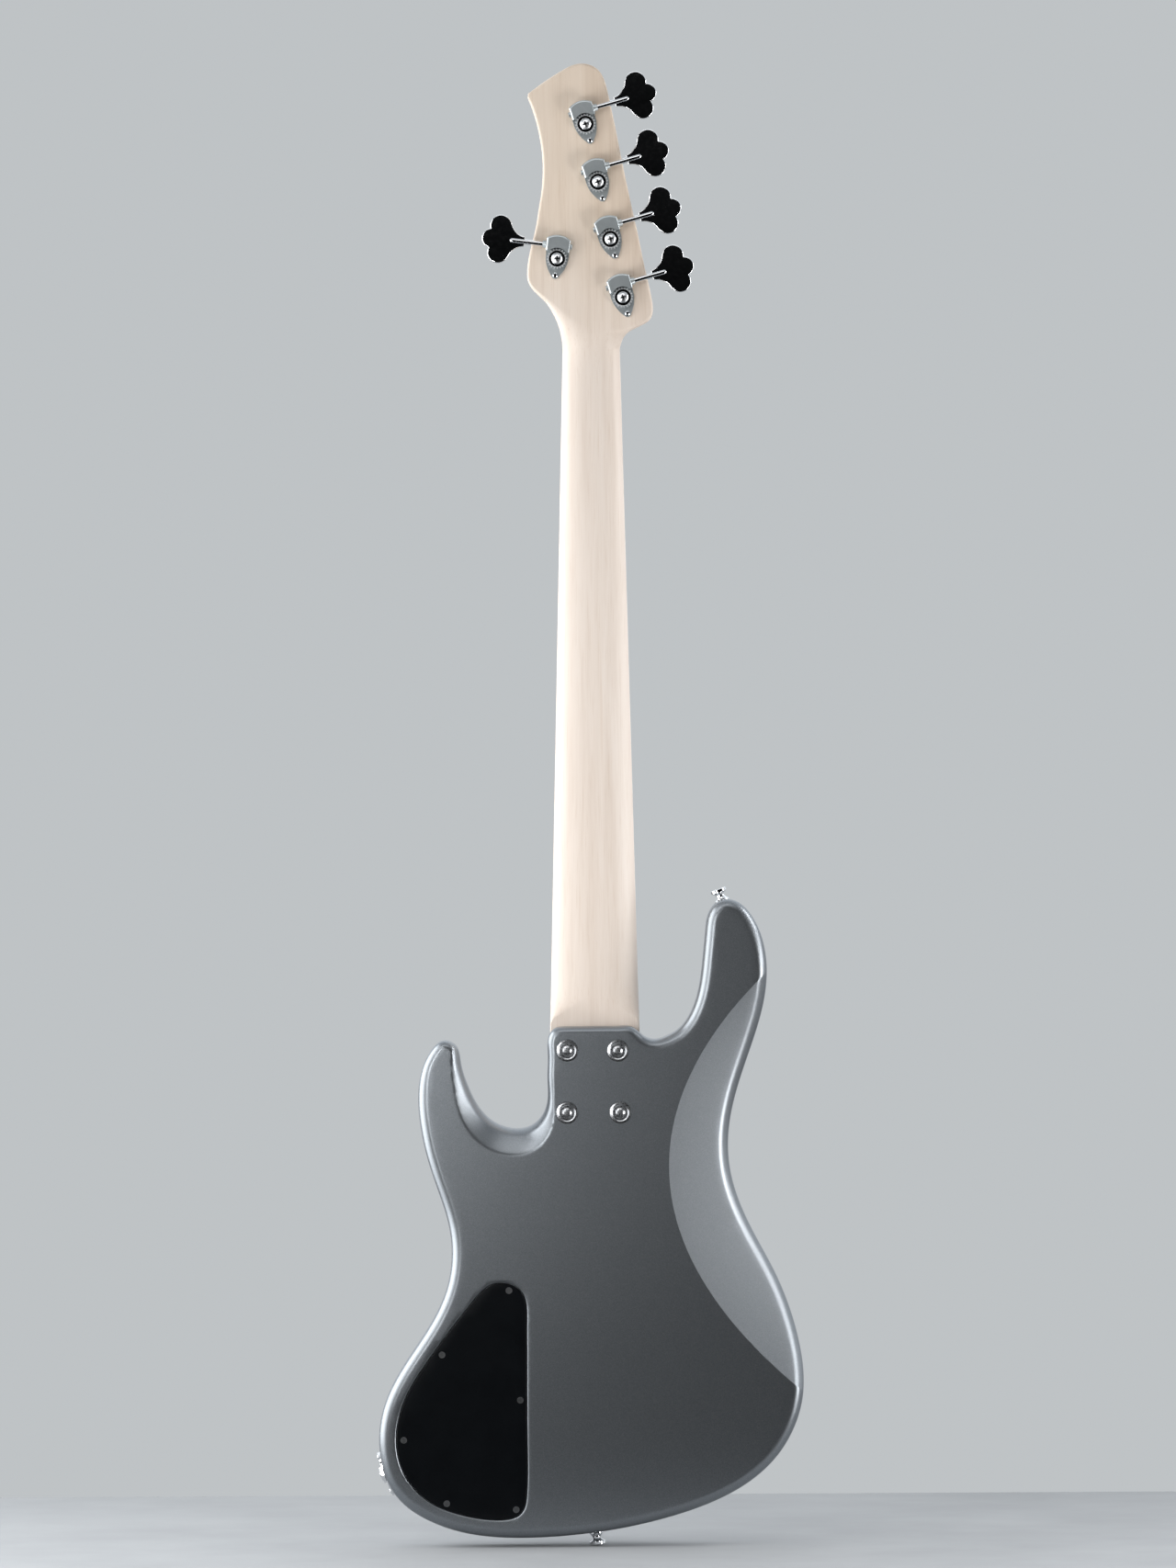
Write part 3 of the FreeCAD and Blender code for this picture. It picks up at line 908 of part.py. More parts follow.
bushes = []
for i, t in enumerate(TUNERS, start=1):
    m = t[3]
    ax = (m, 0, 0)
    # plate and worm housing
    tip = [Part.Arc(V(2.9, -13.6, 0), V(0, -15.7, 0), V(-2.9, -13.6, 0)),
           Part.Arc(V(-2.9, -13.6, 0), V(-7.3, -6.2, 0), V(-9.0, 1.0, 0)),
           Part.LineSegment(V(-9.0, 1.0, 0), V(-9.0, 9.0, 0)), Part.LineSegment(V(-9.0, 9.0, 0), V(9.0, 9.0, 0)),
           Part.LineSegment(V(9.0, 9.0, 0), V(9.0, 1.0, 0)),
           Part.Arc(V(9.0, 1.0, 0), V(7.3, -6.2, 0), V(2.9, -13.6, 0))]
    plate = pad("tuner_plate_%d" % i, "XY_Plane", tip, q("tuner_plate"))
    near, far = 9.6 * m, -9.3 * m
    block = doc.addObject("PartDesign::Body", "tuner_block_%d" % i)
    bl = sketch_in(block, "tuner_block_line_%d" % i, "XY_Plane", [
        Part.LineSegment(V(near, 5.6, 0), V(near, 15.6, 0)), Part.Arc(V(near, 15.6, 0), V(0, 18.6, 0), V(far, 15.2, 0)),
        Part.LineSegment(V(far, 15.2, 0), V(far * 0.97, 5.6, 0)), Part.LineSegment(V(far * 0.97, 5.6, 0), V(near, 5.6, 0))])
    bp = block.newObject("PartDesign::Pad", "tuner_block_pad_%d" % i)
    bp.Profile = bl
    put(bp, "Length", q("housing_height"))
    block.Tip = bp
    doc.recompute()
    soft = ["Edge%d" % (k + 1) for k, e in enumerate(bp.Shape.Edges)
            if e.BoundBox.ZMin > n("housing_height") - 0.01 and e.BoundBox.YMax > 6]
    bf = block.newObject("PartDesign::Fillet", "tuner_block_soft_%d" % i)
    bf.Base = (bp, soft)
    bf.Radius = 1.6
    block.Tip = bf
    collar = cone("tuner_collar_%d" % i, 3.3, 2.7, 3.2, (9.4 * m, WB, WC), ax)
    bump = cyl("tuner_bump_%d" % i, 2.1, 1.6, (-9.2 * m, WB, WC), (-m, 0, 0))
    tools = [cyl("gear_room_%d" % i, q("gear_outer") + 0.4, 10.0, (0, 0, n("tuner_plate"))),
             cyl("worm_room_%d" % i, q("worm_outer") + 0.3, 15.8, (-8.1 * m, WB, WC), ax),
             cyl("shaft_room_%d" % i, q("key_shaft_radius") + q("key_running"), 12.0, (5.0 * m, WB, WC), ax),
             cyl("pin_room_%d" % i, 1.2 + q("key_running"), 6.0, (-10.2 * m, WB, WC), ax),
             cyl("post_room_%d" % i, q("post_radius") + 0.2, 6.0, (0, 0, -1)),
             cyl("screw_room_%d" % i, 1.25, 6.0, (0, -12.9, -1))]
    base = cut("tuner_base_%d" % i, fuse("tuner_base_blank_%d" % i, [plate, block, collar, bump]), tools)
    deliver(set_in(base, t), "tuner_base_%d" % i)
    # key: worm, shaft and clover button
    pin = cyl("worm_pin_%d" % i, 1.2, 3.0, (-7.2 * m, WB, WC), (-m, 0, 0))
    stem = cyl("key_stem_%d" % i, q("key_shaft_radius"), 44.7, (-7.3 * m, WB, WC), ax)
    end = ball("key_end_%d" % i, q("key_shaft_radius"), (37.4 * m, WB, WC))
    thread = doc.addObject("Part::Feature", "worm_thread_%d" % i)
    turns = 5
    line = Part.makeHelix(PITCH, turns * PITCH, n("worm_core"), 0, m < 0)
    prof = Part.makePolygon([V(1.4, 0, -0.62), V(n("worm_outer"), 0, -0.24), V(n("worm_outer"), 0, 0.24), V(1.4, 0, 0.62), V(1.4, 0, -0.62)])
    thread.Shape = Part.Wire(line.Edges).makePipeShell([prof], True, True)
    # helix axis along the key, first crest facing the gear
    rot = frame_of((0, -1, 0), (0, 0, -m), (m, 0, 0))
    thread.Placement = FreeCAD.Placement(V(-turns * PITCH / 2 * m - 0.5 * PITCH * m, WB, WC), rot)
    leaf = [(26.8, 3.9), (30.5, 4.7), (34.2, 6.9), (37.2, 10.4), (38.9, 14.6)]
    lz = WC - n("key_button_thickness") / 2
    up = [V(m * a, WB + b, 0) for a, b in leaf]
    dn = [V(m * a, WB - b, 0) for a, b in leaf]
    s1, s2 = Part.BSplineCurve(), Part.BSplineCurve()
    s1.interpolate(up)
    s2.interpolate(dn)
    c1, c2, c3 = V(m * 46.7, WB + 10.7, 0), V(m * 52.8, WB, 0), V(m * 46.7, WB - 10.7, 0)
    leafs = pad("key_leaf_%d" % i, "XY_Plane", [s1, Part.LineSegment(up[-1], c1), Part.LineSegment(c1, c2), Part.LineSegment(c2, c3),
        Part.LineSegment(c3, dn[-1]), s2, Part.LineSegment(dn[0], up[0])], q("key_button_thickness"), (0, 0, lz))
    lobes = [cyl("key_lobe_%d_%d" % (i, k), rr, q("key_button_thickness"), (m * aa, WB + bb, lz)) for k, (aa, bb, rr) in
             enumerate(((46.7, 10.7, 8.4), (46.7, -10.7, 8.4), (52.8, 0.0, 7.7)))]
    key = fuse("tuner_key_%d" % i, [fuse("key_rod_%d" % i, [stem, pin, end]), thread, fuse("key_button_%d" % i, [leafs] + lobes)])
    deliver(set_in(key, t), "tuner_key_%d" % i)
    # post: gear, washer, screw head, capstan and the string's tail in the slot
    gear = pad("post_gear_%d" % i, "XY_Plane", lines(gear_line()), q("gear_thickness"), (0, 0, WC - n("gear_thickness") / 2))
    g1 = WC + n("gear_thickness") / 2
    rp = q("post_radius")
    sr = STRINGS[i - 1][0]
    capstan = turned("post_turned_%d" % i, [(0, g1 + 2.5), (1.6, g1 + 2.35), (3.2, g1 + 1.75), (4.2, g1 + 0.9), (4.4, g1 + 0.3), (6.4, g1 + 0.3),
        (6.4, 3.0), (rp, 2.9), (rp, -15.75), (6.2, -15.9), (6.2, -17.3), (5.0, -18.4), (4.75, -19.2), (4.75, -26.2), (5.2, -27.6), (6.2, -29.0),
        (6.2, -33.6), (5.7, -34.6), (4.6, -35.0), (0, -35.0)])
    slot = box("post_slot_%d" % i, 16.0, 3.8, 9.0, (-8, -1.9, -37.5))
    well = cyl("post_well_%d" % i, 2.0, 16.0, (0, 0, -37.0))
    cross = [box("post_cross_%d_%d" % (i, k), a, b, 2.0, (-a / 2, -b / 2, g1 + 1.4)) for k, (a, b) in enumerate(((4.2, 0.9), (0.9, 4.2)))]
    post_metal = cut("post_metal_%d" % i, fuse("post_blank_%d" % i, [gear, capstan]), [slot, well] + cross)
    deliver(set_in(group("tuner_post_%d" % i, [post_metal]), t), "tuner_post_%d" % i)
    bush = turned("bushing_%d" % i, [(q("post_radius") + q("post_running"), -3.0), (q("bushing_radius"), -3.0), (q("bushing_radius"), -14.05),
        (9.8, -14.05), (9.8, -14.9), (9.0, -15.6), (q("post_radius") + q("post_running"), -15.6)])
    bushes.append(set_in(bush, t))
deliver(group("tuner_bushings", bushes), "tuner_bushings")

# ---------------------------------------------------------------- strings
def bent_path(pts, radii):
    """Straight runs joined by tangent arcs; returns the edges and the last direction."""
    p = [V(*c) for c in pts]
    edges = []
    at = p[0]
    for k in range(1, len(p) - 1):
        d0 = (p[k] - p[k - 1]).normalize()
        d1 = (p[k + 1] - p[k]).normalize()
        turn = d0.getAngle(d1)
        reach = radii[k - 1] * math.tan(turn / 2)
        a, b = p[k] - d0 * reach, p[k] + d1 * reach
        inward = (d1 - d0).normalize()
        mid = p[k] + inward * (radii[k - 1] / math.cos(turn / 2) - radii[k - 1])
        edges += [Part.makeLine(at, a), Part.Arc(a, mid, b).toShape()]
        at = b
    edges.append(Part.makeLine(at, p[-1]))
    return edges


sets = []
for i in range(5):
    r = STRINGS[i][0]
    t = TUNERS[i]
    sx, sy, sz = string_saddle(i)
    nx, ny, nz = string_nut(i)
    wrap = 4.75 + 0.35 + r
    side = -1 if t[3] > 0 else 1
    bar_y = BAR_Y - 0.3 - r
    bar_z = BEND_Z
    # tangent from the retainer to the winding on the post, level with the headstock
    f = (bar_z - nz) / (t[1] - nz)
    bxr = nx + (t[0] + side * wrap - nx) * f
    dx, dz = t[0] - bxr, t[1] - bar_z
    dist = math.hypot(dx, dz)
    tan_len = math.sqrt(dist * dist - wrap * wrap)
    bearing = math.atan2(dx, dz) + side * math.asin(wrap / dist)
    touch = (bxr + tan_len * math.sin(bearing), bar_y, bar_z + tan_len * math.cos(bearing))
    edges = bent_path([(sx, BALL_Y, 31.0), (sx, sy, sz), (nx, ny, nz), (bxr, bar_y, bar_z), touch], (6.0, 6.0, 5.0))
    start = math.atan2(touch[2] - t[1], touch[0] - t[0])

    def on_post(turn):
        ang = start + side * math.radians(turn)
        return V(t[0] + wrap * math.cos(ang), bar_y, t[1] + wrap * math.sin(ang))

    edges.append(Part.Arc(V(*touch), on_post(80), on_post(160)).toShape())
    edges.append(Part.Arc(on_post(160), on_post(240), on_post(320)).toShape())
    line = doc.addObject("Part::Feature", "string_line_%d" % (i + 1))
    line.Shape = Part.Wire(edges)
    loop = doc.addObject("Part::Circle", "string_gauge_%d" % (i + 1))
    put(loop, "Radius", q("string_%d_radius" % (i + 1)))
    d = V(0, sy - BALL_Y, sz - 31.0)
    loop.Placement = FreeCAD.Placement(V(sx, BALL_Y, 31.0), turn_to((d.x, d.y, d.z)))
    run = doc.addObject("Part::Sweep", "string_run_%d" % (i + 1))
    run.Sections = [loop]
    run.Spine = (line, ["Edge%d" % (k + 1) for k in range(len(edges))])
    run.Solid = True
    run.Frenet = False
    doc.recompute()
    want = math.pi * r * r * line.Shape.Length
    if abs(run.Shape.Volume - want) > 0.02 * want:
        raise RuntimeError("string %d swept wrong: %.1f for %.1f" % (i + 1, run.Shape.Volume, want))
    tie = cyl("ball_end_%d" % (i + 1), 2.35, 3.6, (sx, BALL_Y, 30.0))
    sets.append(fuse("string_%d" % (i + 1), [run, tie]))
    for k in range(1, 2 if i < 2 else 3):
        sets.append(ring("string_turn_%d_%d" % (i + 1, k), wrap, q("string_%d_radius" % (i + 1)),
                         (t[0], bar_y + k * (2 * r + 0.06), t[1]), (0, 1, 0)))
deliver(group("strings", sets), "strings")

# ---------------------------------------------------------------- checks and export
doc.recompute()
bad = [o.Name for o in doc.Objects if any(s in ("Invalid", "Error") for s in o.State)]
if bad:
    raise RuntimeError("failed objects: " + ", ".join(bad))
labels = set()
for o in NODES:
    sh = o.Shape
    if sh.isNull() or not sh.isValid() or not sh.Solids or sh.Volume <= 0:
        raise RuntimeError("bad shape: " + o.Label)
    if o.Label in labels:
        raise RuntimeError("label used twice: " + o.Label)
    labels.add(o.Label)
for old in os.listdir("parts"):
    if old.endswith(".step") and old[:-5] not in labels:
        os.remove(os.path.join("parts", old))
for o in NODES:
    o.Shape.exportStep(os.path.join("parts", o.Label + ".step"))
    bb = o.Shape.BoundBox
    print("%-22s solids %3d  vol %10.1f  x %.1f..%.1f y %.1f..%.1f z %.1f..%.1f" % (
        o.Label, len(o.Shape.Solids), o.Shape.Volume, bb.XMin, bb.XMax, bb.YMin, bb.YMax, bb.ZMin, bb.ZMax))
print(len(NODES), "nodes")
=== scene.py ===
import json
import math

import bmesh
import bpy
import numpy as np
from mathutils import Matrix, Vector
from mathutils.geometry import delaunay_2d_cdt


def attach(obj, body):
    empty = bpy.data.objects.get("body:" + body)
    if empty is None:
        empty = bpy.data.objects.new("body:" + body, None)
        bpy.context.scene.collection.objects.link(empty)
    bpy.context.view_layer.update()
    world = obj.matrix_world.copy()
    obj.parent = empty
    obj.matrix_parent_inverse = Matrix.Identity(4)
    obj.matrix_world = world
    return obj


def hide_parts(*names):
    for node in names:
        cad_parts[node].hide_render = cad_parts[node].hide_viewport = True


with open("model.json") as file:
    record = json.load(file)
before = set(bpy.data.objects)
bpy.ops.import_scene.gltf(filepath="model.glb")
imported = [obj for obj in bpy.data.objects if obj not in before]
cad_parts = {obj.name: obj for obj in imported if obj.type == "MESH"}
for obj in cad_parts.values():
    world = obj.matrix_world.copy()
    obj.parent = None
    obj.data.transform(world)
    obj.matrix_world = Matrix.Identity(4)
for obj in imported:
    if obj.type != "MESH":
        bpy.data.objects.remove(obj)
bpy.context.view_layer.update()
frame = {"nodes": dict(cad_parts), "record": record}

MM = 0.001
scene = bpy.context.scene

# ------------------------------------------------------------------ outlines, millimetres (x, z)
BODY_LINE = [(-37.2, 397.0), (-34.9, 401.6), (-30.6, 404.5), (-25.5, 405.2), (-11.75, 405.3), (6.26, 405.45), (20.0, 405.55),
    (26.5, 405.4), (30.2, 403.8), (34.4, 400.2), (38.8, 396.8), (43.5, 395.2), (49.0, 395.2), (56.2, 397.7), (63.32, 401.65), (73.66, 414.01), (80.41, 432.29), (84.15, 457.25), (86.48, 480.67),
    (90.09, 495.91), (99.67, 504.19), (111.98, 502.4), (122.13, 492.54), (129.82, 476.99), (133.97, 456.63),
    (133.35, 433.27), (127.53, 406.85), (116.55, 374.08), (107.48, 343.8), (103.59, 317.99), (104.76, 293.82),
    (111.22, 269.46), (123.17, 242.74), (139.12, 212.58), (150.73, 184.6), (158.32, 156.91), (161.57, 131.64),
    (159.71, 108.82), (152.58, 87.68), (140.74, 68.62), (124.33, 52.39), (103.35, 38.87), (77.58, 27.67),
    (46.91, 18.36), (13.54, 11.24), (-21.03, 6.79), (-55.37, 4.93), (-85.46, 6.06), (-111.39, 10.74),
    (-133.53, 19.13), (-151.08, 30.5), (-163.13, 45.44), (-169.66, 64.16), (-171.42, 85.32), (-167.92, 107.05),
    (-158.49, 129.07), (-142.32, 154.59), (-126.58, 179.85), (-117.44, 202.29), (-113.84, 224.87),
    (-115.57, 248.14), (-123.24, 274.62), (-132.94, 304.7), (-138.24, 332.07), (-139.19, 355.72),
    (-135.76, 374.11), (-129.16, 386.97), (-119.88, 394.46), (-109.7, 390.1), (-106.2, 377.52),
    (-101.53, 361.13), (-93.14, 343.64), (-81.43, 331.18), (-67.28, 325.53), (-53.16, 326.56), (-42.49, 335.31),
    (-37.95, 349.47), (-38.08, 366.43), (-37.66, 383.17)]
BODY_LINE = [(x + 0.65, z) for x, z in BODY_LINE]
BEVEL_LINE = [(-116.2, 402.0), (-114.5, 391.5), (-112.6, 380.0), (-110.73, 367.45), (-104.43, 334.3), (-93.73, 316.96),
    (-81.54, 307.53), (-68.61, 302.06), (-55.64, 303.79), (-42.64, 310.92), (-36.11, 319.52), (-33.4, 332.46),
    (-35.0, 347.0)]
HEAD_LEFT = [(-24.74, 950.14), (-27.33, 958.76), (-31.58, 967.59), (-36.35, 974.66), (-43.25, 981.42),
    (-48.12, 987.04), (-50.39, 992.3), (-50.6, 998.77), (-49.09, 1010.59), (-46.42, 1021.91), (-43.72, 1033.12),
    (-41.49, 1046.22), (-39.18, 1060.56), (-38.06, 1073.5), (-38.11, 1085.83), (-39.29, 1098.29),
    (-41.59, 1110.82), (-44.99, 1123.3), (-49.44, 1135.6)]
HEAD_LEFT = [(-22.55, 938.0), (-23.0, 944.0)] + [(x + 0.65, z) for x, z in HEAD_LEFT]
HEAD_RIGHT = [(-49.0, 1138.4), (-35.22, 1148.42), (-23.17, 1155.98), (-14.48, 1160.44), (-7.85, 1161.83),
    (-1.43, 1161.06), (4.16, 1158.4), (8.28, 1154.06), (10.9, 1148.6), (12.8, 1142.0), (14.7, 1133.5),
    (17.0, 1122.5), (19.4, 1111.0), (23.46, 1089.49), (27.89, 1067.63), (32.22, 1047.04), (36.81, 1026.1),
    (41.36, 1003.4), (45.47, 985.16), (47.67, 973.21), (47.89, 966.02), (46.05, 961.13), (41.61, 957.43),
    (33.76, 953.63), (27.71, 949.94), (24.3, 945.6)]
HEAD_RIGHT = [(x + 0.65, z) for x, z in HEAD_RIGHT] + [(22.55, 938.0)]
COVER_LINE = [(-75.91, 205.29), (-68.52, 204.2), (-62.14, 200.68), (-57.91, 194.8), (-55.88, 186.45),
    (-55.75, 173.61), (-55.8, 153.23), (-55.9, 126.94), (-55.95, 100.79), (-55.8, 75.42), (-55.75, 53.97),
    (-56.51, 37.87), (-58.18, 29.18), (-62.1, 23.83), (-68.6, 20.92), (-78.29, 20.06), (-91.32, 21.02),
    (-106.46, 24.11), (-120.06, 28.39), (-130.93, 33.79), (-140.0, 40.78), (-147.47, 49.33), (-152.93, 58.98),
    (-156.25, 69.64), (-157.47, 81.33), (-156.55, 93.75), (-153.54, 106.4), (-148.5, 118.8), (-140.91, 131.89),
    (-128.45, 149.9), (-114.62, 168.62), (-99.45, 187.71), (-90.32, 198.14), (-83.17, 203.36)]
COVER_LINE = [(x + 0.65, z) for x, z in COVER_LINE]
COVER_SCREWS = [(-68.45, 199.24), (-121.06, 149.13), (-59.98, 113.37), (-151.45, 82.47), (-117.95, 32.68),
    (-63.62, 27.71)]
NECK_SCREWS = [(-21.78, 386.9), (17.89, 386.7), (-22.2, 338.2), (19.5, 338.2)]
TUNERS = [(25.13, 977.43, 15.75, 1), (15.52, 1023.27, 15.75, 1), (5.97, 1068.25, 15.75, 1),
    (-3.51, 1113.73, 15.75, 1), (-26.54, 1008.09, 7.0, -1)]
KNOBS = [("volume", -78.7, 170.0), ("blend", -104.1, 134.1), ("treble", -125.9, 94.65), ("bass", -113.9, 58.6)]
BACK, FRONT, TOP = -21.0, 21.0, 24.5
HEAD_BACK, HEAD_FRONT = 5.1, 19.1
LOW_AXIS = (0.128, 0.0, -0.99177)
LOW_BASE = tuple(-8.6 * c for c in LOW_AXIS)
UP_AXIS = (-0.341, 0.0, 0.94007)
UP_BASE = (100.5, 0.0, 502.95)
JACK_OUT = (-0.9403, 0.0, -0.3404)
JACK_SEAT = (-164.4, 0.0, 55.25)
JACK_ALONG = (0.3404, 0.0, -0.9403)


def half_neck(z):
    return 22.5 + 0.0234 * (940.0 - z)


# ------------------------------------------------------------------ curve helpers
def spline_through(pts, closed, per=24):
    """Cubic spline through the points, sampled finely."""
    p = np.array(pts, float)
    n = len(p)
    q = np.vstack([p, p[:1]]) if closed else p
    h = np.linalg.norm(np.diff(q, axis=0), axis=1)
    k = n if closed else n
    a = np.zeros((k, k))
    rhs = np.zeros((k, 2))
    for i in range(k):
        if not closed and i in (0, n - 1):
            a[i, i] = 1.0
            continue
        hm, hp = h[i - 1], h[i]
        a[i, i - 1] += hm
        a[i, i] += 2 * (hm + hp)
        a[i, (i + 1) % n] += hp
        rhs[i] = 6 * ((q[i + 1] - q[i]) / hp - (q[i] - q[i - 1] if (i > 0 or not closed) else q[0] - q[n - 1]) / hm)
    m = np.linalg.solve(a, rhs)
    if closed:
        m = np.vstack([m, m[:1]])
    out = []
    for i in range(len(h)):
        for j in range(per):
            t = j / per
            u = 1 - t
            out.append(u * q[i] + t * q[i + 1] + h[i] ** 2 / 6 * ((u ** 3 - u) * m[i] + (t ** 3 - t) * m[i + 1]))
    if not closed:
        out.append(q[-1])
    return np.array(out)


def resample(q, closed, fine=0.8, coarse=2.4, turn=0.08, spots=(), spot_step=0.45, spot_reach=7.0):
    """Points along the polyline, closer together where it bends and beside the spots."""
    loop = np.vstack([q, q[:1]]) if closed else q
    seg = np.linalg.norm(np.diff(loop, axis=0), axis=1)
    s = np.concatenate([[0], np.cumsum(seg)])
    total = s[-1]
    m = int(total / 0.2)
    su = np.linspace(0, total, m, endpoint=not closed)
    x, z = np.interp(su, s, loop[:, 0]), np.interp(su, s, loop[:, 1])
    p = np.stack([x, z], 1)
    w = 8
    if closed:
        d = np.roll(p, -w, 0) - np.roll(p, w, 0)
        ang = np.unwrap(np.arctan2(d[:, 1], d[:, 0]))
        bend = np.abs(np.angle(np.exp(1j * (np.roll(ang, -w) - np.roll(ang, w))))) / (2 * w * total / m)
    else:
        i = np.arange(m)
        d = p[np.clip(i + w, 0, m - 1)] - p[np.clip(i - w, 0, m - 1)]
        ang = np.unwrap(np.arctan2(d[:, 1], d[:, 0]))
        bend = np.abs(ang[np.clip(i + w, 0, m - 1)] - ang[np.clip(i - w, 0, m - 1)]) / (2 * w * total / m)
    step = np.clip(turn / np.maximum(bend, 1e-6), fine, coarse)
    for sx, sz in spots:
        r = np.hypot(x - sx, z - sz)
        step = np.minimum(step, np.clip(spot_step + (r - spot_reach) * 0.3, spot_step, coarse))
    dens = np.concatenate([[0], np.cumsum(1.0 / step * (total / m))])[:m]
    count = int(math.ceil(dens[-1]))
    want = np.linspace(0, dens[-1], count, endpoint=not closed)
    at = np.interp(want, dens, su)
    return np.stack([np.interp(at, s, loop[:, 0]), np.interp(at, s, loop[:, 1])], 1)


def inward(p, closed):
    """Unit normals pointing into a counter-clockwise outline."""
    if closed:
        d = np.roll(p, -1, 0) - np.roll(p, 1, 0)
    else:
        d = np.gradient(p, axis=0)
    d /= np.linalg.norm(d, axis=1)[:, None]
    return np.stack([-d[:, 1], d[:, 0]], 1)


def signed_area(p):
    x, z = p[:, 0], p[:, 1]
    return 0.5 * np.sum(x * np.roll(z, -1) - np.roll(x, -1) * z)


def inside(pts, poly):
    x, z = pts[:, 0], pts[:, 1]
    res = np.zeros(len(pts), bool)
    a, b = poly, np.roll(poly, -1, 0)
    for (x0, z0), (x1, z1) in zip(a, b):
        hit = (z0 > z) != (z1 > z)
        if hit.any():
            res[hit] ^= x[hit] < (x1 - x0) * (z[hit] - z0) / (z1 - z0) + x0
    return res


def nearest(pts, line):
    """Distance to the nearest of the line's points, and its index."""
    best, where = np.full(len(pts), 1e9), np.zeros(len(pts), int)
    for i in range(0, len(pts), 2000):
        d = np.hypot(pts[i:i + 2000, None, 0] - line[None, :, 0], pts[i:i + 2000, None, 1] - line[None, :, 1])
        where[i:i + 2000] = d.argmin(1)
        best[i:i + 2000] = d.min(1)
    return best, where


def hexgrid(poly, step, clear, keep_off=()):
    lo, hi = poly.min(0), poly.max(0)
    rows = []
    for r, z in enumerate(np.arange(lo[1], hi[1], step * 0.866)):
        xs = np.arange(lo[0] + (r % 2) * step / 2, hi[0], step)
        rows.append(np.stack([xs, np.full(len(xs), z)], 1))
    g = np.vstack(rows)
    g = g[inside(g, poly)]
    for line in [poly] + list(keep_off):
        if len(g) and len(line):
            g = g[nearest(g, np.asarray(line))[0] > clear]
    return g


def table(x, rows, col=1):
    """Smooth monotone interpolation of a small table."""
    t = np.array([r[0] for r in rows], float)
    v = np.array([r[col] for r in rows], float)
    d = np.diff(v) / np.diff(t)
    m = np.zeros(len(v))
    for i in range(1, len(v) - 1):
        if d[i - 1] * d[i] > 0:
            w1, w2 = 2 * (t[i + 1] - t[i]) + (t[i] - t[i - 1]), (t[i + 1] - t[i]) + 2 * (t[i] - t[i - 1])
            m[i] = (w1 + w2) / (w1 / d[i - 1] + w2 / d[i])
    x = np.clip(np.asarray(x, float), t[0], t[-1])
    i = np.clip(np.searchsorted(t, x) - 1, 0, len(t) - 2)
    h = t[i + 1] - t[i]
    u = (x - t[i]) / h
    return ((2 * u ** 3 - 3 * u ** 2 + 1) * v[i] + (u ** 3 - 2 * u ** 2 + u) * h * m[i]
            + (3 * u ** 2 - 2 * u ** 3) * v[i + 1] + (u ** 3 - u ** 2) * h * m[i + 1])


# ------------------------------------------------------------------ mesh helpers
class Build:
    """Collects vertices (millimetres) and faces of one mesh."""

    def __init__(self):
        self.v, self.f = [], []

    def add(self, pts):
        start = len(self.v)
        self.v.extend([tuple(map(float, p)) for p in pts])
        return list(range(start, len(self.v)))

    def strip(self, a, b, closed):
        """Quads between two rows of the same length."""
        n = len(a)
        for i in range(n if closed else n - 1):
            j = (i + 1) % n
            self.f.append((a[i], a[j], b[j], b[i]))

    def fill(self, loop, pts2, height, edges=()):
        """Triangles inside a loop of vertices that exist, through further points (x, z)."""
        ring = [Vector((self.v[i][0], self.v[i][2])) for i in loop]
        more = [Vector((float(x), float(z))) for x, z in pts2]
        n = len(ring)
        vs, _, fs, origin, _, _ = delaunay_2d_cdt(ring + more, [tuple(e) for e in edges], [list(range(n))], 1, 1e-5)
        xz = np.array([(v.x, v.y) for v in vs])
        ys = height(xz)
        ids = []
        for k, o in enumerate(origin):
            o = [i for i in o if i < n]
            ids.append(loop[o[0]] if o else self.add([(xz[k, 0], ys[k], xz[k, 1])])[0])
        self.f.extend([tuple(ids[i] for i in f) for f in fs])

    def object(self, name, weld=2e-6):
        me = bpy.data.meshes.new(name)
        me.from_pydata([(x * MM, y * MM, z * MM) for x, y, z in self.v], [], [f for f in self.f if len(set(f)) > 2])
        bm = bmesh.new()
        bm.from_mesh(me)
        bmesh.ops.remove_doubles(bm, verts=bm.verts, dist=weld)
        bmesh.ops.dissolve_degenerate(bm, edges=bm.edges, dist=1e-7)
        bmesh.ops.recalc_face_normals(bm, faces=bm.faces)
        bm.to_mesh(me)
        bm.free()
        ob = bpy.data.objects.new(name, me)
        scene.collection.objects.link(ob)
        return ob


def smooth(ob, degrees):
    me = ob.data
    me.polygons.foreach_set("use_smooth", [True] * len(me.polygons))
    me.set_sharp_from_angle(angle=math.radians(degrees))
    me.update()


def prism(b, loop, y0, y1):
    """A straight prism through the thickness; loop is (x, z)."""
    a = b.add([(x, y0, z) for x, z in loop])
    c = b.add([(x, y1, z) for x, z in loop])
    b.strip(a, c, True)
    b.f.append(tuple(a))
    b.f.append(tuple(c))


def rod(b, at, axis, r, s0, s1, seg=48):
    """A cylinder along axis, from s0 to s1 of the point."""
    ax = Vector(axis).normalized()
    u = ax.orthogonal().normalized()
    w = ax.cross(u)
    rows = []
    for s in (s0, s1):
        rows.append(b.add([tuple(Vector(at) + ax * s + (u * math.cos(t) + w * math.sin(t)) * r)
                           for t in (2 * math.pi * k / seg for k in range(seg))]))
    b.strip(rows[0], rows[1], True)
    b.f.append(tuple(rows[0]))
    b.f.append(tuple(rows[1]))


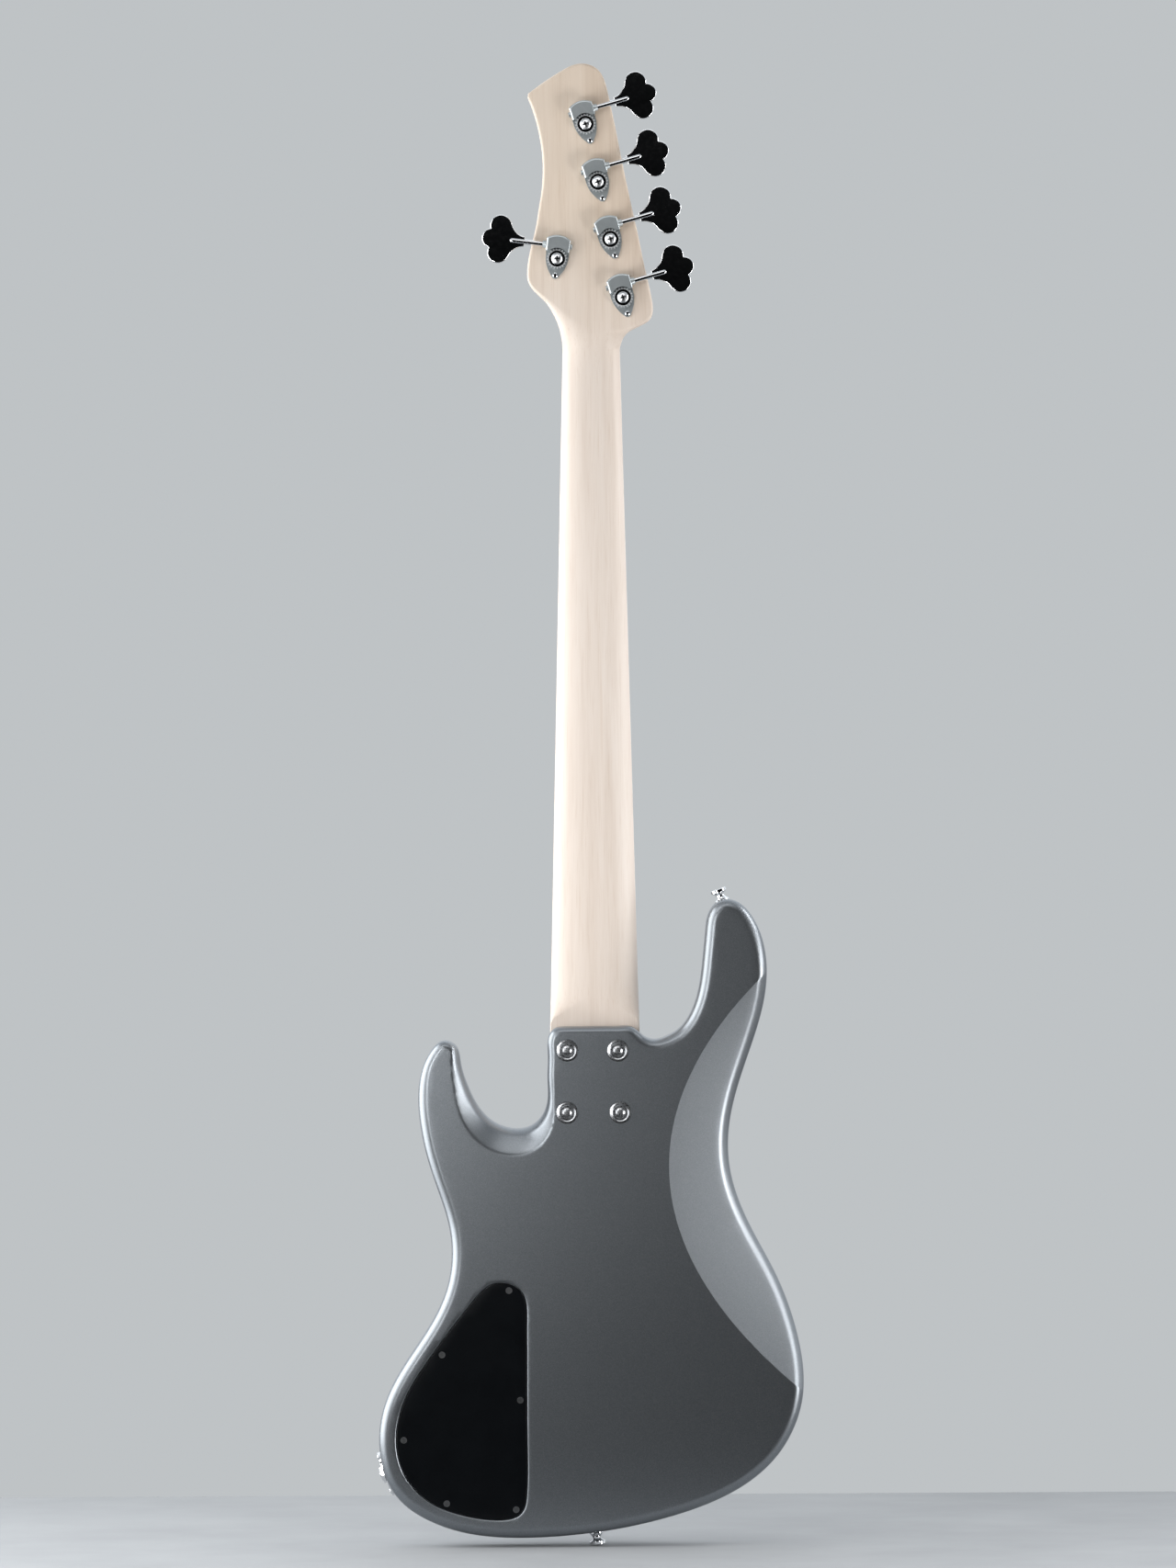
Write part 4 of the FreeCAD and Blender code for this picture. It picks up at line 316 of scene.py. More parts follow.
def lathe(b, prof, place, seg=64):
    """Turned shape: (s along the axis, radius) pairs; place maps (s, u, w) to a point."""
    rows = []
    for s, r in prof:
        if r < 1e-6:
            rows.append(b.add([place(s, 0, 0)]))
        else:
            rows.append(b.add([place(s, r * math.cos(t), r * math.sin(t)) for t in (2 * math.pi * k / seg for k in range(seg))]))
    for a, c in zip(rows, rows[1:]):
        if len(a) == 1 and len(c) == 1:
            continue
        if len(a) == 1:
            b.f.extend([(a[0], c[(i + 1) % seg], c[i]) for i in range(seg)])
        elif len(c) == 1:
            b.f.extend([(a[i], a[(i + 1) % seg], c[0]) for i in range(seg)])
        else:
            b.strip(a, c, True)


def carve(ob, *tool_sets):
    """Cuts each set of separate solids out of the mesh."""
    for tools in tool_sets:
        t = tools.object("cutter")
        m = ob.modifiers.new("cut", "BOOLEAN")
        m.operation, m.solver, m.object = "DIFFERENCE", "MANIFOLD", t
        me = bpy.data.meshes.new_from_object(ob.evaluated_get(bpy.context.evaluated_depsgraph_get()))
        ob.modifiers.clear()
        old, ob.data = ob.data, me
        me.name = ob.name
        bpy.data.meshes.remove(old)
        old = t.data
        bpy.data.objects.remove(t)
        bpy.data.meshes.remove(old)


def offset_loop(p, d):
    """A closed counter-clockwise outline moved outwards by d."""
    return p - inward(p, True) * d


# ------------------------------------------------------------------ body
TILT, BELLY_R = math.radians(17.0), 525.0


def belly(x, z):
    """Depth of the belly contour below the flat back; negative outside it."""
    w = BELLY_R - np.sqrt(np.maximum(BELLY_R ** 2 - (z - 295.26) ** 2, 1.0))
    return ((x - 57.43) * math.sin(TILT) - w) / math.cos(TILT)


def crease_x(z):
    return 57.43 + (BELLY_R - np.sqrt(BELLY_R ** 2 - (z - 295.26) ** 2)) / math.sin(TILT)


def make_body():
    q = spline_through(BODY_LINE, True)
    if signed_area(q) < 0:
        q = q[::-1]
    sign = np.sign(belly(q[:, 0], q[:, 1]))
    turns = np.nonzero(sign != np.roll(sign, 1))[0]
    spots = [tuple(q[i]) for i in turns]
    p = resample(q, True, spots=spots)
    nrm = inward(p, True)
    p = p + nrm * 0.03
    x, z = p[:, 0], p[:, 1]
    n = len(p)
    # radius of the round-over along the outline
    radius = np.full(n, 8.0)
    radius[(np.abs(x) < 40) & (z > 318)] = 5.5
    radius[(x > -112) & (x < -36) & (z > 322)] = 5.5
    radius[(x < -102) & (z > 372)] = 6.0
    ker = np.exp(-0.5 * (np.arange(-20, 21) / 7.0) ** 2)
    ker /= ker.sum()

    def along(v):
        return np.convolve(np.concatenate([v[-20:], v, v[:20]]), ker, "valid")

    radius = along(radius)
    # width of the cutaway's bevel along the outline
    bl = spline_through(BEVEL_LINE, False, 16)
    wide = np.zeros(n)
    for i in np.nonzero((x > -111) & (x < -35.5) & (z > 322) & (z < 391))[0]:
        o, d = p[i], nrm[i]
        a, b = bl[:-1] - o, bl[1:] - o
        ca, cb = d[0] * a[:, 1] - d[1] * a[:, 0], d[0] * b[:, 1] - d[1] * b[:, 0]
        cross = np.nonzero(ca * cb < 0)[0]
        for k in cross:
            t = ca[k] / (ca[k] - cb[k])
            hit = a[k] + t * (b[k] - a[k])
            far = float(hit @ d)
            if 0 < far < 40:
                wide[i] = max(wide[i], far)
    wide = along(wide)
    slope = along(along(np.clip((wide - 2.0) / 6.0, 0.0, 1.0)))

    def denser(v):
        """A cubic through the values along the outline, at ten times the points."""
        u = np.arange(10)[None, :] / 10.0
        a, c, e, g = (np.roll(v, k)[:, None] for k in (1, 0, -1, -2))
        return (0.5 * (2 * c + (e - a) * u + (2 * a - 5 * c + 4 * e - g) * u ** 2
                       + (3 * c - a - 3 * e + g) * u ** 3)).ravel()

    rim_l, wide_l, slope_l = np.stack([denser(x), denser(z)], 1), denser(wide), denser(slope)
    part = (rim_l[:, 0] < -8) & (rim_l[:, 1] > 270)
    rim_l, wide_l, slope_l = rim_l[part], wide_l[part], slope_l[part]

    def bevel(d, w0, s0):
        w = np.maximum(w0, 1e-3)
        t = np.clip((1.0 - d / w) * (w0 > 0.5), -3.0, 1.0)
        e = 0.04
        soft = np.where(t > -2.9, 0.5 * (t + np.sqrt(t * t + e * e)), 0.0)
        return s0 * w * (0.50 * soft + 0.17 * soft * soft) * (w0 > 0.5)

    def skin(xz, d=None, i=None):
        y = BACK + np.maximum(belly(xz[:, 0], xz[:, 1]), 0.0)
        if d is not None:
            return y + bevel(d, wide[i], slope[i])
        near = np.nonzero((xz[:, 0] < -15) & (xz[:, 1] > 285))[0]
        if len(near):
            d, i = nearest(xz[near], rim_l)
            y[near] += bevel(d, wide_l[i], slope_l[i])
        return y

    b = Build()
    rings = 12
    idx = np.arange(n)
    rows = []
    for k in range(rings + 1):
        t = math.pi / 2 * k / rings
        d = radius * (1 - math.cos(t))
        pk = p + nrm * d[:, None]
        y = skin(pk, d, idx) + radius * (1 - math.sin(t))
        rows.append(b.add(np.stack([pk[:, 0], y, pk[:, 1]], 1)))
    for k in range(rings):
        b.strip(rows[k], rows[k + 1], True)
    front = []
    fr = 8.0 + 0 * radius
    fr = np.minimum(fr, np.where(radius < 7.0, 6.0, 8.0))
    fr = along(fr)
    for k in range(rings + 1):
        t = math.pi / 2 * k / rings
        d = fr * (1 - math.cos(t))
        pk = p + nrm * d[:, None]
        y = FRONT - fr * (1 - math.sin(t))
        front.append(b.add(np.stack([pk[:, 0], y, pk[:, 1]], 1)))
    for k in range(rings):
        b.strip(front[k], front[k + 1], True)
    # side wall
    y0 = np.array([b.v[i][1] for i in rows[0]])
    y1 = np.array([b.v[i][1] for i in front[0]])
    last = rows[0]
    for k in range(1, 5):
        t = k / 5
        row = b.add(np.stack([x, y0 * (1 - t) + y1 * t, z], 1))
        b.strip(last, row, True)
        last = row
    b.strip(last, front[0], True)
    # back: crease of the belly contour and edge of the bevel are kept as lines
    inner = np.array([(b.v[i][0], b.v[i][2]) for i in rows[-1]])
    zc = np.linspace(60, 500, 360)
    crease = np.stack([crease_x(zc), zc], 1)
    crease = crease[inside(crease, inner)]
    crease = crease[nearest(crease, inner)[0] > 0.25]
    on = np.nonzero(wide > radius + 1.2)[0]
    lines3 = [p[on] + nrm[on] * (wide[on] + s)[:, None] for s in (-1.6, -0.7, 0.0, 0.8, 1.8)]
    extra_rows = np.vstack(lines3)
    extra_rows = extra_rows[inside(extra_rows, inner)]
    extra_rows = extra_rows[nearest(extra_rows, inner)[0] > 0.7]
    keep, seen = [], np.zeros((0, 2))
    for r in extra_rows:
        if not len(seen) or np.min(np.hypot(*(seen - r).T)) > 0.6:
            keep.append(r)
            seen = np.array(keep)
    extra_rows = np.array(keep)
    fine = []
    for r, zz in enumerate(np.arange(296.0, 404.0, 1.3)):
        xs = np.arange(-126.0 + (r % 2) * 0.75, -20.0, 1.5)
        fine.append(np.stack([xs, np.full(len(xs), zz)], 1))
    fine = np.vstack(fine)
    fine = fine[inside(fine, inner)]
    far, at = nearest(fine, p)
    fine = fine[(wide[at] > 0.5) & (far < wide[at] + 7.0)]
    for kept in (inner, extra_rows):
        fine = fine[nearest(fine, kept)[0] > 0.75]
    extra_rows = np.vstack([extra_rows, fine])
    grid = hexgrid(inner, 4.5, 1.8, [crease, extra_rows])
    pts = np.vstack([crease, extra_rows, grid])
    first = len(rows[-1])
    edges = [(first + i, first + i + 1) for i in range(len(crease) - 1)
             if np.hypot(*(crease[i + 1] - crease[i])) < 4.0]
    b.fill(rows[-1], pts, lambda xz: skin(xz), edges)
    flat = np.array([(b.v[i][0], b.v[i][2]) for i in front[-1]])
    b.fill(front[-1], hexgrid(flat, 9.0, 3.0), lambda xz: np.full(len(xz), FRONT))
    ob = b.object("body_shell")

    # recesses: first the outer steps, then what goes on below them
    one, two, three = Build(), Build(), Build()
    g = 0.1
    prism(one, [(-half_neck(306) - g, 306 - g), (half_neck(306) + g, 306 - g), (half_neck(425) + g, 425), (-60, 425),
                (-60, 350), (-half_neck(350) - g, 350)], HEAD_BACK, 60)
    cover = resample(spline_through(COVER_LINE, True), True, 0.8, 3.0)
    if signed_area(cover) < 0:
        cover = cover[::-1]
    steps = [(-23.0, 4.0), (BACK, 2.0), (BACK + 0.12, 1.45), (BACK + 0.4, 0.95), (BACK + 0.9, 0.6), (BACK + 1.6, 0.42), (BACK + 2.4, 0.4)]
    rws = [one.add([(x_, y_, z_) for x_, z_ in offset_loop(cover, d_)]) for y_, d_ in steps]
    for r0, r1 in zip(rws, rws[1:]):
        one.strip(r0, r1, True)
    one.f.append(tuple(rws[0]))
    one.f.append(tuple(rws[-1]))
    prism(two, list(map(tuple, offset_loop(resample(cover, True, 3.0, 5.0), -9.0))), BACK - 0.5, 13.0)
    for zc_ in (242.0, 150.0):
        prism(one, [(-54.4, zc_ - 10.4), (54.4, zc_ - 10.4), (54.4, zc_ + 10.4), (-54.4, zc_ + 10.4)], 4.0, 44.0)
    for sx, sz in NECK_SCREWS:
        rod(one, (sx, 0, sz), (0, 1, 0), 8.6, BACK - 5, BACK + 3.0, 72)
        rod(two, (sx, 0, sz), (0, 1, 0), 2.8, BACK - 5, 12.0, 24)
    for label, sx, sz in KNOBS:
        rod(three, (sx, 0, sz), (0, 1, 0), 3.8, 10.0, 30.0, 32)
    rod(one, LOW_BASE, LOW_AXIS, 6.4, 0.0, 8.0, 48)
    rod(one, UP_BASE, UP_AXIS, 6.4, 0.0, 8.0, 48)
    seat = []
    for k in range(72):
        t = 2 * math.pi * k / 72
        c, s = math.cos(t), math.sin(t)
        seat.append((18.3 * math.copysign(abs(c) ** 0.85, c), 13.3 * math.copysign(abs(s) ** 0.85, s)))
    rws = []
    for s in (0.0, 20.0):
        rws.append(one.add([tuple(Vector(JACK_SEAT) + Vector(JACK_ALONG) * a + Vector((0, -1, 0)) * c + Vector(JACK_OUT) * s)
                            for a, c in seat]))
    one.strip(rws[0], rws[1], True)
    one.f.append(tuple(rws[0]))
    one.f.append(tuple(rws[1]))
    rod(two, JACK_SEAT, JACK_OUT, 8.0, -20.0, 1.0, 48)
    rod(three, JACK_SEAT, JACK_OUT, 8.0, -35.5, -10.0, 48)
    carve(ob, one, two, three)
    smooth(ob, 13.0)
    return ob


# ------------------------------------------------------------------ neck and headstock
LOW = [(300, 5.1), (404, 5.1), (420, 5.25), (440, 5.9), (480, 6.2), (560, 6.6), (640, 7.0), (740, 7.8), (840, 8.6),
    (895, 9.0), (915, 8.75), (928, 8.0), (938, 6.95), (942, 6.3), (946, 5.7), (950, 5.3), (955, 5.1), (1200, 5.1)]
FLAT = [(300, 0.985), (406, 0.975), (411, 0.93), (415, 0.74), (419, 0.55), (423, 0.33), (427, 0.13), (431, 0.02), (435, 0.012),
    (1200, 0.012)]
DROP = [(300, 0.8), (406, 1.2), (411, 3.2), (415, 6.4), (419, 9.3), (427, 14.0), (440, 17.4)]
POWER = [(300, 2.0), (415, 2.0), (440, 2.35), (480, 2.3), (900, 2.25), (938, 2.3), (960, 2.2), (985, 2.0)]


def make_neck():
    b = Build()
    m, wall = 18, 3
    zs = np.concatenate([[306, 330, 360, 390], np.arange(400, 446, 1.5), np.arange(446, 480, 4), np.arange(480, 890, 9),
                         np.arange(890, 938, 2.0), [938.0]])
    phi = np.array([math.pi / 2 * k / m for k in range(m + 1)])

    def profile(pw):
        return np.cos(phi) ** (2.0 / pw), np.sin(phi) ** (2.0 / pw)

    loops = []
    for z in zs:
        hw = half_neck(z)
        low, pw = float(table(z, LOW)), float(table(z, POWER))
        f = hw * float(table(z, FLAT))
        drop = min(float(table(z, DROP)), TOP - low - 1.2) if z < 440 else TOP - low - 1.2
        c, s = profile(pw)
        xs = f + (hw - f) * c
        ys = low + drop * (1 - s)
        right = [(hw, TOP, z)] + [(hw, TOP + (ys[0] - TOP) * k / (wall + 1), z) for k in range(1, wall + 1)]
        right += [(xs[k], ys[k], z) for k in range(m + 1)]
        left = [(-x_, y_, z_) for x_, y_, z_ in reversed(right)]
        loops.append(b.add(right + [(0, low, z)] + left))
    for a, c in zip(loops, loops[1:]):
        b.strip(a, c, True)
    b.f.append(tuple(loops[0]))

    # headstock outline, counter-clockwise from the right of the neck
    left = spline_through(HEAD_LEFT, False)
    right = spline_through(HEAD_RIGHT, False)
    a, e = left[-1], right[0]
    corner = np.array([-49.2 + 0.65, 1137.5])
    bend = np.array([(1 - t) ** 2 * a + 2 * t * (1 - t) * corner + t * t * e for t in np.linspace(0, 1, 14)[1:-1]])
    line = np.vstack([left, bend, right])[::-1]
    p = resample(line, False, 0.5, 2.4, 0.1)
    p[0], p[-1] = (half_neck(938), 938.0), (-half_neck(938), 938.0)
    nrm = inward(p, False)
    nrm[0], nrm[-1] = (-1, 0), (1, 0)
    seg = np.concatenate([[0], np.cumsum(np.linalg.norm(np.diff(p, axis=0), axis=1))])
    n = len(p)
    up = np.argmax(p[:, 1])
    s_r = seg
    s_l = seg[-1] - seg
    hw0 = half_neck(938)
    right_a = [(0, hw0), (3, hw0), (6, 20.0), (8.5, 14.0), (11, 8.0), (13.5, 4.8), (17, 3.2), (23, 2.4), (40, 2.2)]
    right_b = [(0, 1.0), (3, 0.86), (6, 0.72), (8.5, 0.6), (11, 0.42), (13.5, 0.29), (17, 0.2), (23, 0.15), (40, 0.134)]
    left_a = [(938, hw0), (946, 22.4), (950, 20.8), (954, 17.0), (958.8, 12.2), (967.6, 6.6), (974.7, 3.6), (981, 2.5), (990, 2.2)]
    left_b = [(938, 1.0), (942, 0.86), (946, 0.70), (950, 0.65), (954, 0.58), (958.8, 0.47), (967.6, 0.3), (974.7, 0.19), (981, 0.145),
              (990, 0.134)]
    wide, part = np.zeros(n), np.zeros(n)
    for i in range(n):
        if i <= up:
            wide[i], part[i] = float(table(s_r[i], right_a)), float(table(s_r[i], right_b))
        else:
            wide[i], part[i] = float(table(p[i, 1], left_a)), float(table(p[i, 1], left_b))
        if p[i, 1] < 975 and abs(nrm[i, 0]) > 0.2:
            wide[i] = min(wide[i], (abs(p[i, 0]) - 0.27) / abs(nrm[i, 0]))
    tip = np.hypot(p[:, 0] + 48.6, p[:, 1] - 1137.3)
    wide = np.where(tip < 9, np.minimum(wide, 0.75 + 0.18 * tip), wide)
    wide[0] = wide[-1] = hw0 * (1 - float(table(938, FLAT)))
    full = TOP - float(table(938, LOW)) - 1.2
    drop = np.where(part > 0.135, part * full, np.minimum(part * full, wide * 1.0))
    drop = np.where(tip < 9, wide, drop)

    def front_y(z):
        z = np.asarray(z, float)
        y = np.where(z < 945.6, TOP, HEAD_FRONT)
        slope = (z >= 945.6) & (z < 946.2)
        y = np.where(slope, TOP + (z - 945.6) / 0.6 * (21.6 - TOP), y)
        hollow = (z >= 946.2) & (z < 948.7)
        return np.where(hollow, 21.6 - np.sqrt(np.maximum(6.25 - (z - 948.7) ** 2, 0)), y)

    rows = []
    end = p + nrm * wide[:, None]
    base = np.array([float(table(zz, LOW)) for zz in end[:, 1]])
    base[0] = base[-1] = float(table(938, LOW))
    pw = np.where(np.arange(n) <= up, np.interp(s_r, [0, 8, 25], [2.3, 2.2, 2.0]), np.interp(p[:, 1], [938, 960, 985], [2.3, 2.2, 2.0]))
    for k in range(m + 1):
        c, s = math.cos(phi[k]) ** (2.0 / pw), math.sin(phi[k]) ** (2.0 / pw)
        pk = p + nrm * (wide * (1 - c))[:, None]
        rows.append(b.add(np.stack([pk[:, 0], base + drop * (1 - s), pk[:, 1]], 1)))
    for k in range(m):
        b.strip(rows[k], rows[k + 1], False)
    # side wall and front edge
    edge_y = base + drop
    fr = np.interp(p[:, 1], [938, 946, 950, 1200], [0.0, 0.0, 1.6, 1.6])
    fr = np.where(tip < 8, np.minimum(fr, 0.7 + 0.12 * tip), fr)
    top_y = front_y(p[:, 1])
    fr_rings = 6
    frows = []
    for k in range(fr_rings + 1):
        t = math.pi / 2 * k / fr_rings
        pk = p + nrm * (fr * (1 - math.cos(t)))[:, None]
        frows.append(b.add(np.stack([pk[:, 0], top_y - fr * (1 - math.sin(t)), pk[:, 1]], 1)))
    for k in range(fr_rings):
        b.strip(frows[k], frows[k + 1], False)
    last = rows[0]
    wy = top_y - fr
    for k in range(1, wall + 1):
        t = k / (wall + 1)
        row = b.add(np.stack([p[:, 0], edge_y * (1 - t) + wy * t, p[:, 1]], 1))
        b.strip(last, row, False)
        last = row
    b.strip(last, frows[0], False)
    # the flat back, closed by the middle of the neck's last section
    middle = b.add([(0, float(table(938, LOW)), 938.0)])[0]
    loop = rows[-1] + [middle]
    inner = np.array([(b.v[i][0], b.v[i][2]) for i in loop])
    b.fill(loop, hexgrid(inner, 5.0, 1.6), lambda xz: table(xz[:, 1], LOW))
    loop = frows[-1]
    inner = np.array([(b.v[i][0], b.v[i][2]) for i in loop])
    bars = np.array([(x_, z_) for z_ in (945.5, 945.75, 946.0, 946.2, 946.4, 946.8, 947.3, 947.9, 948.7, 949.6) for x_ in np.arange(-22, 24, 2.0)])
    bars = bars[inside(bars, inner)]
    field = hexgrid(inner, 8.0, 2.5, [bars])
    field = field[field[:, 1] > 940]
    b.fill(loop, np.vstack([bars, field]), lambda xz: front_y(xz[:, 1]))
    ob = b.object("neck_wood", 4e-6)

    one, two = Build(), Build()
    for tx, tz, _, _ in TUNERS:
        rod(one, (tx, 0, tz), (0, 1, 0), 8.0, -4.0, 30.0, 48)
    prism(one, [(-5, 946.4), (5, 946.4), (5, 961), (-5, 961)], 15.5, 30.0)
    prism(two, [(-3, 320), (3, 320), (3, 950), (-3, 950)], 15.7, 30.0)
    carve(ob, one, two)
    smooth(ob, 24.0)
    return ob


# ------------------------------------------------------------------ control cover
def make_cover():
    line = resample(spline_through(COVER_LINE, True), True, 0.8, 3.0)
    if signed_area(line) < 0:
        line = line[::-1]
    nrm = inward(line, True)
    b = Build()
    steps = [(0.0, BACK + 2.4), (0.0, BACK + 0.5), (0.04, BACK + 0.31), (0.15, BACK + 0.15), (0.31, BACK + 0.04), (0.5, BACK)]
    rows = []
    for d, y in steps:
        q = line + nrm * d
        rows.append(b.add(np.stack([q[:, 0], np.full(len(q), y), q[:, 1]], 1)))
    for r0, r1 in zip(rows, rows[1:]):
        b.strip(r0, r1, True)
    for row, y in ((rows[0], BACK + 2.4), (rows[-1], BACK)):
        loop = np.array([(b.v[i][0], b.v[i][2]) for i in row])
        b.fill(row, hexgrid(loop, 9.0, 3.0), lambda xz, y=y: np.full(len(xz), y))
    ob = b.object("cover_plate")
    cut = Build()
    for sx, sz in COVER_SCREWS:
        lathe(cut, [(BACK - 1.0, 0), (BACK - 1.0, 3.65), (BACK, 2.75), (BACK + 1.5, 1.4), (BACK + 5, 1.4), (BACK + 5, 0)],
              lambda s, u, w, sx=sx, sz=sz: (sx + u, s, sz + w), 40)
    carve(ob, cut)
    smooth(ob, 30.0)
    return ob


# ------------------------------------------------------------------ tuner keys
WORM_B, WORM_C = 10.3, 4.2


def tuner_place(t):
    ang = math.radians(t[2])
    m = t[3]
    ax = Vector((m * math.cos(ang), 0, math.sin(ang)))
    bx = Vector((-m * math.sin(ang), 0, math.cos(ang)))
    at = Vector((t[0], HEAD_BACK, t[1]))

    def place(a, b_, c):
        return tuple(at + ax * a + bx * b_ + Vector((0, -1, 0)) * c)

    return place


def clover(count=220):
    """Outline of the key's button about its middle: distance by angle."""
    leaf = [(26.8, 3.9), (30.5, 4.7), (34.2, 6.9), (37.2, 10.4), (38.9, 14.6)]
    fine = spline_through(leaf, False, 10)
    poly = np.vstack([fine, [(46.7, 10.7), (52.8, 0.0), (46.7, -10.7)], fine[::-1] * np.array([1, -1])])
    centre = np.array([44.0, 0.0])
    angles = np.linspace(-math.pi, math.pi, 1440, endpoint=False)
    out = []
    for t in angles:
        d = np.array([math.cos(t), math.sin(t)])
        far = 0.0
        for cx, cz, r in ((46.7, 10.7, 8.4), (46.7, -10.7, 8.4), (52.8, 0.0, 7.7)):
            o = np.array([cx, cz]) - centre
            k = o @ d
            q = r * r - (o @ o - k * k)
            if q > 0:
                far = max(far, k + math.sqrt(q))
        a, e = poly - centre, np.roll(poly, -1, 0) - centre
        ca, ce = d[0] * a[:, 1] - d[1] * a[:, 0], d[0] * e[:, 1] - d[1] * e[:, 0]
        for k in np.nonzero(ca * ce <= 0)[0]:
            if abs(ca[k] - ce[k]) > 1e-9:
                h = a[k] + ca[k] / (ca[k] - ce[k]) * (e[k] - a[k])
                far = max(far, float(h @ d))
        out.append(centre + d * far)
    q = np.array(out)
    return resample(q, True, 0.35, 1.0, 0.12)


CLOVER = clover()


def make_key(i, t):
    place = tuner_place(t)
    b = Build()

    def spin(s, u, w):
        return place(s, WORM_B + u, WORM_C + w)

    prof = [(-10.1, 0), (-10.1, 1.0), (-9.9, 1.2), (-7.25, 1.2), (-7.25, 2.0), (12.7, 2.0), (36.6, 2.0)]
    prof += [(36.6 + 2.0 * math.sin(a), 2.0 * math.cos(a)) for a in np.linspace(0, math.pi / 2, 9)[1:-1]] + [(38.6, 0)]
    lathe(b, prof, spin, 40)
    half, edge = 1.15, 0.8
    line = CLOVER
    nrm = inward(line, True)
    rows = []
    prof = [(edge * (1 - math.cos(a)), -half + edge - edge * math.sin(a)) for a in np.linspace(math.pi / 2, 0, 7)]
    prof += [(edge * (1 - math.cos(a)), half - edge + edge * math.sin(a)) for a in np.linspace(0, math.pi / 2, 7)]
    for d, h in prof:
        q = line + nrm * d
        rows.append(b.add([place(a, WORM_B + c, WORM_C + h) for a, c in q]))
    for r0, r1 in zip(rows, rows[1:]):
        b.strip(r0, r1, True)
    b.f.append(tuple(rows[0]))
    b.f.append(tuple(rows[-1]))
    ob = b.object("key_%d" % i)
    smooth(ob, 35.0)
    return ob


# ------------------------------------------------------------------ materials
def mat(name, metallic=0.0, ior=1.45, coat=0.0, coat_rough=0.1, specular=0.5):
    m = bpy.data.materials.new(name)
    m.use_nodes = True
    nt = m.node_tree
    nt.nodes.clear()
    out = nt.nodes.new("ShaderNodeOutputMaterial")
    b = nt.nodes.new("ShaderNodeBsdfPrincipled")
    nt.links.new(b.outputs["BSDF"], out.inputs["Surface"])
    b.inputs["Metallic"].default_value = metallic
    b.inputs["IOR"].default_value = ior
    b.inputs["Coat Weight"].default_value = coat
    b.inputs["Coat Roughness"].default_value = coat_rough
    b.inputs["Specular IOR Level"].default_value = specular
    return m, nt, b


def coords(nt, scale=(1, 1, 1), rot=(0, 0, 0), loc=(0, 0, 0)):
    tc = nt.nodes.new("ShaderNodeTexCoord")
    mp = nt.nodes.new("ShaderNodeMapping")
    mp.inputs["Scale"].default_value = scale
    mp.inputs["Rotation"].default_value = rot
    mp.inputs["Location"].default_value = loc
    nt.links.new(tc.outputs["Object"], mp.inputs["Vector"])
    return mp.outputs["Vector"]


def noise(nt, vec, scale, detail=2.0, rough=0.5, distortion=0.0):
    t = nt.nodes.new("ShaderNodeTexNoise")
    t.inputs["Scale"].default_value = scale
    t.inputs["Detail"].default_value = detail
    t.inputs["Roughness"].default_value = rough
    t.inputs["Distortion"].default_value = distortion
    nt.links.new(vec, t.inputs["Vector"])
    return t.outputs["Fac"]


def ramp(nt, fac, stops):
    r = nt.nodes.new("ShaderNodeValToRGB")
    els = r.color_ramp.elements
    while len(els) < len(stops):
        els.new(0.5)
    for e, (pos, col) in zip(els, stops):
        e.position = pos
        e.color = (*col, 1) if isinstance(col, tuple) else (col, col, col, 1)
    nt.links.new(fac, r.inputs["Fac"])
    return r.outputs["Color"]


def mix(nt, kind, fac, a, b):
    m = nt.nodes.new("ShaderNodeMix")
    m.data_type = "RGBA"
    m.blend_type = kind
    for sock, v in ((m.inputs[0], fac), (m.inputs[6], a), (m.inputs[7], b)):
        if hasattr(v, "is_output"):
            nt.links.new(v, sock)
        else:
            sock.default_value = v if not isinstance(v, tuple) else (*v, 1)
    return m.outputs[2]


def span(nt, fac, lo, hi, a=0.0, b=1.0):
    m = nt.nodes.new("ShaderNodeMapRange")
    m.inputs["From Min"].default_value = a
    m.inputs["From Max"].default_value = b
    m.inputs["To Min"].default_value = lo
    m.inputs["To Max"].default_value = hi
    nt.links.new(fac, m.inputs["Value"])
    return m.outputs["Result"]


def bump(nt, bsdf, height, strength, distance):
    n = nt.nodes.new("ShaderNodeBump")
    n.inputs["Strength"].default_value = strength
    n.inputs["Distance"].default_value = distance
    nt.links.new(height, n.inputs["Height"])
    nt.links.new(n.outputs["Normal"], bsdf.inputs["Normal"])


def lacquer():
    m, nt, b = mat("pewter_lacquer", metallic=0.985, ior=1.5)
    v = coords(nt)
    flake = noise(nt, v, 2600, 1.0, 0.5)
    cloud = noise(nt, v, 9, 3.0, 0.55)
    c = ramp(nt, flake, [(0.30, (0.212, 0.229, 0.247)), (0.5, (0.247, 0.265, 0.284)), (0.72, (0.306, 0.326, 0.346))])
    c = mix(nt, "MULTIPLY", 1.0, c, ramp(nt, cloud, [(0.3, 0.97), (0.7, 1.0)]))
    nt.links.new(c, b.inputs["Base Color"])
    nt.links.new(span(nt, flake, 0.335, 0.395, 0.3, 0.7), b.inputs["Roughness"])
    bump(nt, b, noise(nt, v, 1500, 2.0, 0.6), 0.03, 0.0002)
    return m


